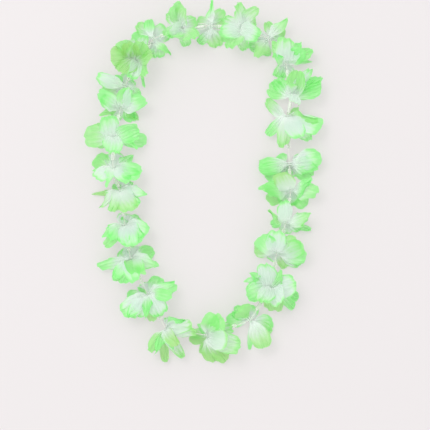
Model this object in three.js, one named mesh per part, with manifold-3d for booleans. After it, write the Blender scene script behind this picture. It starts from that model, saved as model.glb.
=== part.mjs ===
import * as THREE from 'three';
import { mergeVertices } from 'three/addons/utils/BufferGeometryUtils.js';
import Module from 'manifold-3d';

// A garland of fabric flowers, laid flat as a closed loop. The flowers are pinched on one thread,
// with a short clear tube between every two of them. Millimetres and degrees, +Z up. The origin is
// on the surface that the garland lies on, below the middle of its box.

// Thread, tubes and the pinched middle of a flower
const STRAND_HEIGHT = 10;
const THREAD_RADIUS = 0.5;
const THREAD_SIDES = 5;
const TUBE_LENGTH = 18;
const TUBE_RADIUS = 2;
const TUBE_BORE = 1.2;
const TUBE_SIDES = 6;
const CORE_RADIUS = 4;
const CORE_BORE = 1;
const CORE_HALF_LENGTH = 1.3;
const CORE_SIDES = 6;

// Knot: the distance along the thread from a flower's middle, its lump and its two cut ends
const KNOT_FLOWER = 22;
const KNOT_DISTANCE = 5.2;
const KNOT_RADIUS = 1.6;
const KNOT_END_LENGTH = 11;
const KNOT_END_SPREAD = 3.8;

// Petals: thin blades whose roots are sunk in the core
const PETAL_THICKNESS = 0.7;
const PETAL_ROOT_RADIUS = 3;
const PETAL_ROOT_WIDTH = 0.08;
const PETAL_FULL_WIDTH_AT = 0.72;
const PETAL_SIMPLIFY = 0.02;
const ROOT_TURN = 0.28;
const ROOT_FAN = 50;
const ROOT_MIDDLE_DECK = 0.4;
const SWEEP = 24;
const CENTRELINE_STEPS = 24;
const CUP = 0.5;
const CUP_MIDDLE = 0.35;
const WAVE_LEAST = 0.6;
const WAVE_SPREAD = 1.1;
const WAVE_COUNT = 2.4;

// Low petals bend down to the surface, high petals rise, arch over and roll on their long axis
const LOW_DECK = 0.3;
const LOW_ALONG = 0.35;
const LOW_DROOP = 8;
const LOW_SLACK = 1.03;
const HIGH_SHORTEST = 31.5;
const HIGH_LENGTH_SPREAD = 4.2;
const HIGH_SLACK = 1.05;
const HIGH_WIDEST = 25;
const HIGH_WIDENING = 1.15;
const HIGH_EXTRA_WIDTH = 3;
const ARCH_LEAST = 24;
const ARCH_SPREAD = 34;
const REACH_LIMIT = 0.995;

// Petals of a flower whose tips aren't listed
const SPARE_PETALS = 8;
const SPARE_STRIDE = 3;
const SPARE_TURN = 24;
const SPARE_REACH = 19;
const SPARE_REACH_SPREAD = 9;
const SPARE_FLATTENING = 0.85;
const SPARE_WIDTH = 11;
const SPARE_WIDTH_SPREAD = 8;

// Clearances: neighbouring flowers lean over each other like shingles, along a sloping plane
// halfway between them, and every petal stays off the surface and clear of the tubes
const SHINGLE_TILT = 60;
const SHINGLE_GAP = 0.75;
const SHINGLE_SOFTNESS = 1.6;
const FLOOR_SOFTNESS = 1;
const FLOOR_PRESS = 0.5;
const RIDGE_HEIGHT = 3.7;
const RIDGE_WIDTH = 12;
const RIDGE_START = 4;
const RIDGE_STEEPNESS = 0.8;
const RIDGE_SOFTNESS = 0.7;

// The flowers in their order on the thread: where the thread pierces each one, whether it lies over
// the next one, and its petals from the lowest to the highest, each as the place of its tip from the
// middle, across and up the loop, and its width. A flower without a list is spread evenly by draw.
const flowers = [
  { at: [-78, 132], over: true, petals: [[3, 30, 15], [15, 30, 20], [2, -33, 5], [-19, -17, 20],
    [-8, -22, 22], [-26, 1, 26], [-15, 18, 24], [-5, 17, 19], [10, 19, 22]] },
  { at: [-91.5, 104], over: false, petals: [[-2, -19, 16], [3, 19, 16], [-19, -10, 19], [11, -15, 16],
    [-27, 7, 24], [-9, 11, 16]] },
  { at: [-96, 80], over: false, petals: [[-8, -16, 14], [-25, -12, 16], [18, -14, 16], [24, 8, 26],
    [10, 16, 18], [7, -18, 16], [-19, -2, 14], [-23, 11, 15]] },
  { at: [-105, 46.5], over: true, petals: [[-15, -13, 16], [34, -4, 20], [-2, -22, 26], [-27, -2, 26],
    [-19, 14, 15], [27, 12, 18], [-3, 25, 22]] },
  { at: [-105, 11.5], over: true, petals: [[-2, 15, 19], [-22, -2, 7], [-20, 13, 24], [13, -11, 12],
    [-5, -22, 14], [26, -11, 12], [28, 1, 15], [19, 17, 15]] },
  { at: [-97, -15], over: true, petals: [[-9, 11, 16], [-30, -3, 7], [-21, -13, 15], [29, -4, 15],
    [18, -10, 16], [14, -24, 26], [-9, -23, 16]] },
  { at: [-91.5, -54], over: true, petals: [[-3, 13, 14], [14, 9, 19], [-16, -28, 12], [-22, -13, 12],
    [23, -9, 26], [13, -22, 26], [-16, -3, 22]] },
  { at: [-85, -92.5], over: true, petals: [[-13, 11, 15], [21, 10, 20], [-32, -6, 11], [31, -10, 18],
    [16, -16, 14], [-12, -26, 26], [6, -24, 14], [3, -9, 19]] },
  { at: [-65.5, -132], over: true, petals: [[-22, 5, 12], [10, -32, 14], [21, -1, 11], [10, 19, 18],
    [25, 13, 19], [18, -26, 24], [-27, -20, 26]] },
  { at: [-45, -170.5], over: false, petals: [[13, 11, 14], [29, 3, 12], [16, -12, 12], [24, -28, 16],
    [3, -33, 14], [-18, -19, 16]] },
  { at: [2.5, -177.5], over: false, petals: [[-24, -7, 15], [8, -26, 26], [-6, -18, 16], [26, 2, 7],
    [34, -12, 20], [18, 17, 18], [5, 23, 15], [-16, 4, 23]] },
  { at: [49.5, -160.5], over: false, petals: [[7, 17, 15], [-5, -33, 7], [-19, -12, 12], [-17, 4, 12],
    [22, -10, 19], [13, -27, 26], [25, 2, 22], [-6, 14, 20]] },
  { at: [73.5, -123], over: true, petals: [[3, -28, 24], [22, -24, 15], [26, -10, 14], [-20, 17, 14],
    [-26, -13, 22], [13, 25, 11], [-6, 29, 20], [26, 8, 26], [9, -18, 19]] },
  { at: [80, -83.5], over: false, petals: [[11, -19, 16], [-8, -11, 14], [-21, -1, 20], [22, -16, 19],
    [28, -4, 19], [26, 13, 24], [-18, 13, 20], [2, 25, 24]] },
  { at: [90.5, -49.5], over: true, petals: [[-2, -15, 16], [24, -9, 7], [23, 5, 14], [26, 12, 14],
    [11, -11, 14], [-13, -6, 12], [-5, 24, 19]] },
  { at: [96, -13.5], over: true, petals: [[0, -20, 16], [-34, 2, 18], [-24, -15, 19], [-14, -10, 22],
    [22, -9, 26], [15, 4, 14], [-6, 15, 16], [-17, 12, 16]] },
  { at: [94, 16], over: false, petals: [[6, -15, 19], [-29, 4, 12], [-20, -17, 16], [-30, -9, 24],
    [26, -10, 20], [32, 7, 24], [11, 8, 14], [-8, 10, 20]] },
  { at: [92.5, 69], over: false, petals: [[-13, 9, 5], [-19, -23, 16], [20, -31, 18], [-6, -35, 18],
    [-21, 22, 16], [36, -14, 26], [29, 6, 19]] },
  { at: [97, 95], over: true, petals: [[-14, 20, 16], [19, -3, 16], [-22, 10, 26], [28, 22, 7],
    [28, 10, 26], [22, 31, 12], [5, 28, 19]] },
  { at: [89.5, 131], over: true, petals: [[7, -19, 19], [-7, -17, 14], [16, 5, 19], [28, 9, 14],
    [-17, 28, 14], [-5, 27, 19], [16, 25, 22]] },
  { at: [70.5, 157.5], over: false },
  { at: [39, 169], over: true },
  { at: [5.5, 172.5], over: false },
  { at: [-27.5, 169], over: true },
  { at: [-59, 157.5], over: false },
];

const UP = new THREE.Vector3(0, 0, 1);
const radians = THREE.MathUtils.degToRad;
const wasm = await Module();
wasm.setup();

// A repeatable draw between 0 and 1 for each whole number.
function draw(number) {
  const wave = Math.sin(number * 12.9898 + 78.233) * 43758.5453;
  return wave - Math.floor(wave);
}

// Pushes a value smoothly above a limit, and leaves it alone far above it.
function above(value, limit, softness) {
  const rise = (value - limit) / softness;
  return rise > 30 ? value : limit + softness * Math.log1p(Math.exp(rise));
}

function smoothstep(value) {
  const t = Math.min(Math.max(value, 0), 1);
  return t * t * (3 - 2 * t);
}

function flowerPoint(index) {
  const [x, y] = flowers[(index + flowers.length) % flowers.length].at;
  return new THREE.Vector3(x, y, STRAND_HEIGHT);
}

// The directions along the strand from a flower to its neighbours, and through the flower.
function strandAt(index) {
  const centre = flowerPoint(index);
  const ahead = flowerPoint(index + 1).sub(centre).normalize();
  const behind = flowerPoint(index - 1).sub(centre).normalize();
  return { centre, ahead, behind, through: ahead.clone().sub(behind).normalize() };
}

// Whether a flower lies over the next one (step 1) or the last one (step -1).
function liesOverNeighbour(index, step) {
  return step > 0 ? flowers[index].over : !flowers[(index - 1 + flowers.length) % flowers.length].over;
}

// The sloping plane between a flower and one neighbour: a point of it and its normal on the flower's side.
function shinglePlane(index, step) {
  const centre = flowerPoint(index);
  const neighbour = flowerPoint(index + step);
  const hand = liesOverNeighbour(index, step) ? 1 : -1;
  const normal = neighbour.clone().sub(centre).normalize().multiplyScalar(-Math.cos(radians(SHINGLE_TILT)));
  normal.z = hand * Math.sin(radians(SHINGLE_TILT));
  return { point: centre.add(neighbour).multiplyScalar(0.5), normal, hand };
}

// The petals of a flower whose tips aren't listed: evenly round the middle, with drawn reach and width.
function evenPetals(index) {
  return Array.from({ length: SPARE_PETALS }, (_, place) => {
    const seed = index * 31 + place * 7;
    const slot = (place * SPARE_STRIDE) % SPARE_PETALS;
    const turn = radians(slot * (360 / SPARE_PETALS) + SPARE_TURN * draw(seed));
    const reach = SPARE_REACH + SPARE_REACH_SPREAD * draw(seed + 1);
    const width = SPARE_WIDTH + SPARE_WIDTH_SPREAD * draw(seed + 2);
    return [reach * Math.cos(turn), reach * SPARE_FLATTENING * Math.sin(turn), width];
  });
}

// The size and slopes of a low petal, which bends down to the surface and lies out flat.
function lowShape(reach, width) {
  const length = LOW_SLACK * Math.hypot(reach, LOW_DROOP);
  return { length, width, roll: 0, startSlope: -2 * Math.atan(LOW_DROOP / reach), endSlope: 0 };
}

// The size and slopes of a high petal, which is longer and wider than what shows of it from above.
function highShape(reach, width, seed) {
  const arch = radians(ARCH_LEAST + ARCH_SPREAD * draw(seed + 1));
  const length = Math.max(reach * HIGH_SLACK, HIGH_SHORTEST + HIGH_LENGTH_SPREAD * draw(seed + 2));
  const shorten = Math.sin(arch / 2) / (arch / 2);
  const climb = Math.acos(Math.min(reach / (length * shorten), REACH_LIMIT));
  const trueWidth = Math.max(width, Math.min(HIGH_WIDEST, width * HIGH_WIDENING + HIGH_EXTRA_WIDTH));
  const roll = Math.acos(width / trueWidth) * (draw(seed + 3) < 0.5 ? -1 : 1);
  return { length, width: trueWidth, roll, startSlope: climb + arch / 2, endSlope: climb - arch / 2 };
}

// Works out one petal: its size, its slopes, and its centreline from a root in the core.
function planPetal(index, place, count, [across, up, width]) {
  const { centre, through } = strandAt(index);
  const seed = index * 101 + place * 11;
  const deck = place / (count - 1);
  const reach = Math.hypot(across, up);
  const heading = Math.atan2(up, across);
  const forward = new THREE.Vector3(Math.cos(heading), Math.sin(heading), 0);
  const along = forward.dot(through);
  const { hand } = shinglePlane(index, along > 0 ? 1 : -1);
  const low = (hand < 0 && Math.abs(along) > LOW_ALONG) || deck < LOW_DECK;
  const shape = low ? lowShape(reach, width) : highShape(reach, width, seed);

  const sideways = UP.clone().cross(through);
  const level = forward.dot(sideways);
  const fan = radians((deck - ROOT_MIDDLE_DECK) * ROOT_FAN);
  const rootTurn = hand * Math.acos(Math.min(Math.abs(level), 1)) + fan;
  const root = sideways.multiplyScalar(Math.sign(level) * Math.cos(rootTurn));
  root.z = Math.sin(rootTurn);
  const sweep = radians(SWEEP * (draw(seed + 4) - 0.5));
  const step = shape.length / CENTRELINE_STEPS;
  const start = centre.clone().addScaledVector(root, PETAL_ROOT_RADIUS);
  const path = [{ position: start, direction: root.clone() }];
  for (let i = 1; i <= CENTRELINE_STEPS; i += 1) {
    const s = (i - 0.5) / CENTRELINE_STEPS;
    const slope = shape.startSlope + (shape.endSlope - shape.startSlope) * s;
    const turn = heading + sweep * (s - 0.5);
    const onward = new THREE.Vector3(Math.cos(turn), Math.sin(turn), 0).multiplyScalar(Math.cos(slope));
    onward.z = Math.sin(slope);
    const direction = root.clone().lerp(onward, smoothstep(s / ROOT_TURN)).normalize();
    const position = path[i - 1].position.clone().addScaledVector(direction, step);
    path.push({ position, direction });
  }
  return {
    index,
    path,
    heading,
    halfWidth: shape.width / 2,
    roll: shape.roll,
    cup: CUP * (draw(seed + 5) - CUP_MIDDLE),
    waveHeight: WAVE_LEAST + WAVE_SPREAD * draw(seed + 6),
    wavePhase: 2 * Math.PI * draw(seed + 7),
    waveCount: WAVE_COUNT + draw(seed + 8),
  };
}

// Half the width of a petal at a fraction of its length: a narrow root that widens to a broad tip.
function widthShape(s) {
  return PETAL_ROOT_WIDTH + (1 - PETAL_ROOT_WIDTH) * smoothstep(s / PETAL_FULL_WIDTH_AT);
}

// A point of a petal's middle surface, at s of its length and w of its half width.
function petalPoint(petal, s, w) {
  const at = s * CENTRELINE_STEPS;
  const start = Math.min(Math.floor(at), CENTRELINE_STEPS - 1);
  const [before, after] = petal.path.slice(start, start + 2);
  const direction = before.direction.clone().lerp(after.direction, at - start).normalize();
  const point = before.position.clone().lerp(after.position, at - start);
  const side = new THREE.Vector3(-Math.sin(petal.heading), Math.cos(petal.heading), 0);
  side.addScaledVector(direction, -side.dot(direction)).normalize();
  side.applyAxisAngle(direction, petal.roll * s);
  const face = direction.clone().cross(side);
  const half = petal.halfWidth * widthShape(s);
  const wave = petal.waveHeight * s * s * Math.sin(Math.PI * petal.waveCount * w + petal.wavePhase);
  point.addScaledVector(side, w * half).addScaledVector(face, petal.cup * half * w * w + wave);
  return keepClear(petal.index, point);
}

// Bends a point clear of the tubes on both sides, the neighbouring flowers and the surface below.
function keepClear(index, point) {
  const { centre, ahead, behind } = strandAt(index);
  for (const [step, tube] of [[1, ahead], [-1, behind]]) {
    const plane = shinglePlane(index, step);
    const offset = point.clone().sub(centre);
    const alongTube = offset.dot(tube);
    const beside = Math.max(offset.x ** 2 + offset.y ** 2 - alongTube ** 2, 0);
    const early = Math.max(RIDGE_START - alongTube, 0);
    const ridge = RIDGE_HEIGHT - beside / RIDGE_WIDTH - RIDGE_STEEPNESS * early * early;
    const height = plane.hand * (point.z - STRAND_HEIGHT);
    point.z = STRAND_HEIGHT + plane.hand * above(height, ridge, RIDGE_SOFTNESS);
    const distance = point.clone().sub(plane.point).dot(plane.normal);
    point.addScaledVector(plane.normal, above(distance, SHINGLE_GAP, SHINGLE_SOFTNESS) - distance);
  }
  const lowest = PETAL_THICKNESS / 2;
  point.z = Math.max(above(point.z, lowest, FLOOR_SOFTNESS) - FLOOR_PRESS, lowest);
  return point;
}

// The cells of a petal's coarse net: rows of [s, w], from the root to the scalloped rim.
const PETAL_ROWS = [
  [[0, -1], [0, 1]],
  [[0.55, -1], [0.55, 0], [0.55, 1]],
  [[0.9, -0.9], [1, -0.45], [0.95, 0], [1, 0.45], [0.9, 0.9]],
];

// The triangles between two rows of a net, both walked from left to right.
function stitchRows(left, right) {
  const faces = [];
  let i = 0;
  let j = 0;
  while (i < left.length - 1 || j < right.length - 1) {
    const behind = (i + 1) * right.length <= (j + 1) * left.length;
    if (j === right.length - 1 || (i < left.length - 1 && behind)) {
      faces.push([left[i], left[i + 1], right[j]]);
      i += 1;
    } else {
      faces.push([left[i], right[j + 1], right[j]]);
      j += 1;
    }
  }
  return faces;
}

// A closed blade on a petal's net: both faces half the thickness from the middle surface, and a rim.
function petalBlade(petal) {
  const middle = [];
  const rows = PETAL_ROWS.map((row) => row.map(([s, w]) => middle.push(petalPoint(petal, s, w)) - 1));
  const faces = rows.slice(1).flatMap((row, i) => stitchRows(rows[i], row));
  const normals = middle.map(() => new THREE.Vector3());
  for (const [a, b, c] of faces) {
    const normal = middle[b].clone().sub(middle[a]).cross(middle[c].clone().sub(middle[a])).normalize();
    [a, b, c].forEach((vertex) => normals[vertex].add(normal));
  }
  const half = PETAL_THICKNESS / 2;
  const outer = middle.map((point, i) => point.clone().addScaledVector(normals[i].normalize(), half));
  const inner = middle.map((point, i) => point.clone().addScaledVector(normals[i], -half));
  const count = middle.length;
  const triangles = faces.flatMap(([a, b, c]) => [a, b, c, a + count, c + count, b + count]);
  const leftEdge = rows.slice(1, -1).map((row) => row[0]);
  const rightEdge = rows.slice(1).map((row) => row.at(-1));
  const rim = [...rows[0], ...rightEdge, ...rows.at(-1).slice(0, -1).reverse(), ...leftEdge.reverse()];
  rim.forEach((vertex, i) => {
    const next = rim[(i + 1) % rim.length];
    triangles.push(vertex, vertex + count, next, next, vertex + count, next + count);
  });
  return { vertices: [...outer, ...inner], triangles };
}

function toManifold(vertices, triangles) {
  return new wasm.Manifold(new wasm.Mesh({
    numProp: 3,
    vertProperties: new Float32Array(vertices.flatMap((v) => [v.x, v.y, v.z])),
    triVerts: new Uint32Array(triangles),
  }));
}

function geometryToManifold(geometry) {
  geometry.deleteAttribute('normal');
  geometry.deleteAttribute('uv');
  const merged = mergeVertices(geometry, 1e-4);
  return new wasm.Manifold(new wasm.Mesh({
    numProp: 3,
    vertProperties: new Float32Array(merged.attributes.position.array),
    triVerts: new Uint32Array(merged.index.array),
  }));
}

function manifoldToGeometry(solid) {
  const mesh = solid.getMesh();
  const geometry = new THREE.BufferGeometry();
  geometry.setAttribute('position', new THREE.BufferAttribute(mesh.vertProperties.slice(), 3));
  geometry.setIndex(new THREE.BufferAttribute(mesh.triVerts.slice(), 1));
  geometry.computeVertexNormals();
  return geometry;
}

// A short round sleeve along +Z, turned onto a direction: the core of a flower or a tube.
function sleeve(radius, bore, halfLength, sides, centre, direction) {
  const corners = [[bore, -halfLength], [radius, -halfLength], [radius, halfLength], [bore, halfLength]];
  const profile = [...corners, corners[0]];
  const geometry = new THREE.LatheGeometry(profile.map(([r, z]) => new THREE.Vector2(r, z)), sides);
  geometry.applyQuaternion(new THREE.Quaternion().setFromUnitVectors(new THREE.Vector3(0, 1, 0), direction));
  geometry.translate(centre.x, centre.y, centre.z);
  return geometry;
}

// One flower: its petals fused to the pinched core, without loose scraps or sealed hollows.
function buildFlower(index) {
  const { centre, through } = strandAt(index);
  const petals = flowers[index].petals ?? evenPetals(index);
  const core = sleeve(CORE_RADIUS, CORE_BORE, CORE_HALF_LENGTH, CORE_SIDES, centre, through);
  let solid = geometryToManifold(core);
  petals.forEach((tip, place) => {
    const blade = petalBlade(planPetal(index, place, petals.length, tip));
    solid = solid.add(toManifold(blade.vertices, blade.triangles));
  });
  const whole = solid.decompose().sort((a, b) => b.volume() - a.volume())[0];
  return manifoldToGeometry(whole.simplify(PETAL_SIMPLIFY));
}

// The straight tube halfway between a flower and the next one.
function buildTube(index) {
  const start = flowerPoint(index);
  const end = flowerPoint(index + 1);
  const middle = start.clone().add(end).multiplyScalar(0.5);
  return sleeve(TUBE_RADIUS, TUBE_BORE, TUBE_LENGTH / 2, TUBE_SIDES, middle, end.sub(start).normalize());
}

// The closed route of the thread, as places where each ring of its tube stands.
class ThreadRoute extends THREE.Curve {
  constructor(places) {
    super();
    this.places = places;
  }

  getPoint(t) {
    const at = (t * this.places.length) % this.places.length;
    const start = Math.floor(at + 1e-6);
    const here = this.places[start % this.places.length];
    return here.clone().lerp(this.places[(start + 1) % this.places.length], Math.max(at - start, 0));
  }

  getPointAt(t) {
    return this.getPoint(t);
  }

  getTangentAt(t) {
    const at = Math.round(t * this.places.length);
    const next = this.places[(at + 1) % this.places.length];
    const last = this.places[(at - 1 + this.places.length) % this.places.length];
    return next.clone().sub(last).normalize();
  }
}

// The thread: straight through every core and tube, with its knot and two short ends.
function buildThread() {
  const places = flowers.flatMap((_, index) => {
    const { centre, through } = strandAt(index);
    const shifts = [-CORE_HALF_LENGTH, CORE_HALF_LENGTH];
    return shifts.map((shift) => centre.clone().addScaledVector(through, shift));
  });
  let solid = geometryToManifold(
    new THREE.TubeGeometry(new ThreadRoute(places), places.length, THREAD_RADIUS, THREAD_SIDES, true));
  const { centre, ahead } = strandAt(KNOT_FLOWER);
  const sideways = UP.clone().cross(ahead);
  const knot = centre.clone().addScaledVector(ahead, KNOT_DISTANCE);
  const lump = new THREE.IcosahedronGeometry(KNOT_RADIUS, 1).translate(knot.x, knot.y, knot.z);
  solid = solid.add(geometryToManifold(lump));
  for (const hand of [-1, 1]) {
    const bend = knot.clone().addScaledVector(sideways, hand * KNOT_END_SPREAD);
    const tip = bend.clone().addScaledVector(ahead, KNOT_END_LENGTH);
    const section = new THREE.Shape().absarc(0, 0, THREAD_RADIUS, 0, 2 * Math.PI);
    const end = new THREE.ExtrudeGeometry(section, { steps: 4, curveSegments: 3, bevelEnabled: false,
      extrudePath: new THREE.QuadraticBezierCurve3(knot, bend, tip) });
    solid = solid.add(geometryToManifold(end));
  }
  return manifoldToGeometry(solid);
}

const fabric = new THREE.MeshStandardMaterial({ color: 0xb4f5ac, roughness: 0.55, metalness: 0 });
const clearPlastic = new THREE.MeshStandardMaterial({
  color: 0xe6eadb, roughness: 0.2, metalness: 0, transparent: true, opacity: 0.6,
});
const cotton = new THREE.MeshStandardMaterial({ color: 0xf1efe6, roughness: 0.9, metalness: 0 });

function addPiece(group, name, geometry, material) {
  const piece = new THREE.Mesh(geometry, material);
  piece.name = name;
  group.add(piece);
}

const garland = new THREE.Group();
addPiece(garland, 'thread', buildThread(), cotton);
flowers.forEach((_, index) => {
  const number = String(index + 1).padStart(2, '0');
  addPiece(garland, `flower_${number}`, buildFlower(index), fabric);
  addPiece(garland, `tube_${number}`, buildTube(index), clearPlastic);
});

const box = new THREE.Box3().setFromObject(garland);
const middle = box.getCenter(new THREE.Vector3());
garland.position.set(-middle.x, -middle.y, -box.min.z);

export default garland;
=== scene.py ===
"""An artificial flower lei, laid flat: fabric flowers pinched on one thread, with clear spacer tubes.

Every flower is two layers of thin, stiffened white fabric whose rims are dyed green. All sizes are
metres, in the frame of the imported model.
"""

import logging
import math
from dataclasses import dataclass, field, replace
from enum import Enum, IntEnum

import bmesh
import bpy
import numpy as np
from mathutils import Matrix, Vector


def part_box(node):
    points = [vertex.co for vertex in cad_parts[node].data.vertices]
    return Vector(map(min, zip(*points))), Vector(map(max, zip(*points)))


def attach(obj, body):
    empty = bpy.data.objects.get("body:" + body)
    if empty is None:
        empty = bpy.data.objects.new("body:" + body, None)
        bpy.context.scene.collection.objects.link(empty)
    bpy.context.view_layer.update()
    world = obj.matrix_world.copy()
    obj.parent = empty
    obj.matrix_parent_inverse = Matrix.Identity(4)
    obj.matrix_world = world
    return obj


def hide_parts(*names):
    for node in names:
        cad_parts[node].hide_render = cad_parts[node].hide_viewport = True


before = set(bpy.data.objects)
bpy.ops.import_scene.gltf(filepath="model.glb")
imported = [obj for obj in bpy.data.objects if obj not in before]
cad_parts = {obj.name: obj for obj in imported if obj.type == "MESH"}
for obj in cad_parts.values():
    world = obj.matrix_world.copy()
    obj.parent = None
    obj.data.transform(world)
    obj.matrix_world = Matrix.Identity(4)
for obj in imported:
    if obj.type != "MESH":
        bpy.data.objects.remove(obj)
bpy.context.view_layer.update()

log = logging.getLogger("lei")

Range = tuple[float, float]
Triple = tuple[float, float, float]
Colour = tuple[float, float, float, float]

MM = 0.001
FULL_TURN: Range = (0.0, 2 * math.pi)
BODY = "root"

# The photograph's frame, its scale at the strand, and the pixel that the strand's own origin is at
PHOTO_SIDE_PX = 430
PHOTO_SCALE = 1.13 * MM
STRAND_ORIGIN_PX = (206, 178)
CAMERA_LENS = 150.0
CAMERA_SENSOR = 36.0

STRAND_HEIGHT = 10 * MM

# The usual constants of a sine's digits, taken as a draw
DRAW_RATE = 12.9898
DRAW_START = 78.233
DRAW_SCALE = 43758.5453

# How far apart the seeds of two flowers and of two petals are
FLOWER_SEEDS = 101
PETAL_SEEDS = 11


class Lies(Enum):
    """Whether a flower lies over or under the next one on the thread."""

    OVER = 1
    UNDER = -1


class Layer(Enum):
    """The two fabric layers of a flower."""

    LOWER = "lower"
    UPPER = "upper"


class Trait(IntEnum):
    """What is drawn for each petal. The value is added to the petal's seed."""

    ARCH = 1
    LENGTH = 2
    ROLL_SIDE = 3
    SWEEP = 4
    CUP = 5
    WAVE_HEIGHT = 6
    WAVE_TURN = 7
    WAVE_COUNT = 8
    NOTCH_DEPTH = 30
    NOTCH_PLACE = 31
    LOBE_DEPTH = 32
    LOBE_COUNT = 33
    LOBE_TURN = 34
    CORNER = 35
    SKEW = 36
    CREASE_COUNT = 40
    CREASE_BEND = 41
    CREASE_PLACE = 42
    RUFFLE_HEIGHT = 43
    RUFFLE_COUNT = 44
    RUFFLE_TURN = 45
    FLUTTER_TURN = 46
    CURL = 47
    FADE = 50
    DYE_SLANT = 52
    CLOTH_ACROSS = 60
    CLOTH_ALONG = 61


def draw(number: float) -> float:
    """A repeatable draw between 0 and 1 for each number."""
    wave = math.sin(number * DRAW_RATE + DRAW_START) * DRAW_SCALE
    return wave - math.floor(wave)


def rise(value: np.ndarray | float, start: float, end: float) -> np.ndarray | float:
    """A smooth rise from 0 at the start to 1 at the end."""
    t = np.clip((value - start) / (end - start), 0, 1)
    return t * t * (3 - 2 * t)


def zigzag(value: np.ndarray) -> np.ndarray:
    """A line that goes straight up from 0 to 1 and down again once for every whole number."""
    return 1 - np.abs(2 * (value - np.floor(value)) - 1)


def above(value: np.ndarray, limit: np.ndarray | float, softness: float) -> np.ndarray:
    """Pushes values smoothly above a limit, and leaves them alone far above it."""
    return limit + softness * np.logaddexp(0, (value - limit) / softness)


def unit(vectors: np.ndarray) -> np.ndarray:
    """Vectors of length 1 in the same directions."""
    return vectors / np.linalg.norm(vectors, axis=-1, keepdims=True)


# ---- The layout: every flower on the thread and the petals that it shows ----


@dataclass(frozen=True)
class Cut:
    """The outline and the fold of a petal.

    Args:
        root_width: the share of its width that it has at its root.
        full_width_at: where along its length it is widest.
        point: how much shorter its sides are than its middle.
        ridge: the slope of its two halves down from a fold along its middle.
    """

    root_width: float = 0.2
    full_width_at: float = 0.75
    point: float = 0.0
    ridge: float = 0.0


class Form(Enum):
    """The forms that petals have."""

    FAN = Cut()
    POINT = Cut(full_width_at=0.55, point=0.42, ridge=0.15)
    FOLD = Cut(full_width_at=0.6, point=0.35, ridge=0.9)
    STRIP = Cut(root_width=0.35, full_width_at=0.45)


@dataclass(frozen=True)
class Tip:
    """A petal as it is seen from above.

    Args:
        across: how far its tip is to the right of the flower's middle.
        up: how far its tip is towards the top of the loop.
        width: its width.
        white: the share of its reach, from the flower's middle, that is left white.
        tone: its shade, from 0 for mint green to 1 for olive green.
        form: its outline and fold.
        deck: its height in the flower, from 0 for the lowest petal to 1 for the highest.
        seed: the number that its draws start from.
    """

    across: float
    up: float
    width: float
    white: float
    tone: float = 0.0
    form: Form = Form.FAN
    deck: float = 0.0
    seed: int = 0

    def draw(self, trait: Trait, limits: Range = (0.0, 1.0)) -> float:
        """A trait of its own between two limits."""
        return limits[0] + (limits[1] - limits[0]) * draw(self.seed + trait)


@dataclass(frozen=True)
class Site:
    """A flower's place on the thread, how it lies and its petals."""

    x: float
    y: float
    lies: Lies
    tips: tuple[Tip, ...]


@dataclass(frozen=True)
class EvenSpread:
    """The petals of a flower whose petals aren't listed: evenly round its middle.

    Args:
        count: how many petals it has.
        stride: how many places further round each next petal is.
        turn: by how many degrees at most a petal is turned from its place.
        reach: how far the shortest petal's tip is out.
        reach_spread: how much further the longest one's is.
        flattening: how much nearer the tips are towards the top and the bottom of the loop.
        width: the narrowest petal's width.
        width_spread: how much wider the widest one is.
        white: the least share of a petal that is left white.
        white_spread: how much more of one may be.
        tone_spread: the most olive shade.
        flower_seeds: how far apart the seeds of two flowers are.
        petal_seeds: how far apart the seeds of two petals are.
    """

    count: int = 8
    stride: int = 3
    turn: float = 24.0
    reach: float = 19 * MM
    reach_spread: float = 9 * MM
    flattening: float = 0.85
    width: float = 11 * MM
    width_spread: float = 8 * MM
    white: float = 0.2
    white_spread: float = 0.45
    tone_spread: float = 0.5
    flower_seeds: int = 31
    petal_seeds: int = 7

    def tips(self, index: int) -> tuple[Tip, ...]:
        """Spreads one flower's petals.

        Args:
            index: the flower's number, from 0.

        Returns:
            Its petals, from the lowest to the highest.
        """
        made = []
        for place in range(self.count):
            seed = index * self.flower_seeds + place * self.petal_seeds
            turned, reached, widened, whitened, toned = (draw(seed + number) for number in range(5))
            slot = (place * self.stride) % self.count
            turn = math.radians(slot * (360 / self.count) + self.turn * turned)
            reach = self.reach + self.reach_spread * reached
            made.append(Tip(
                reach * math.cos(turn),
                reach * self.flattening * math.sin(turn),
                self.width + self.width_spread * widened,
                self.white + self.white_spread * whitened,
                self.tone_spread * toned,
            ))
        return tuple(made)


def lobe(across: float, up: float, width: float, white: float, tone: float = 0.0,
         form: Form = Form.FAN) -> Tip:
    """A petal with its sizes in millimetres."""
    return Tip(across * MM, up * MM, width * MM, white, tone, form)


def flower(x: float, y: float, lies: Lies, *tips: Tip) -> Site:
    """A flower with its place in millimetres and its petals from the lowest to the highest."""
    return Site(x * MM, y * MM, lies, tips)


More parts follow.
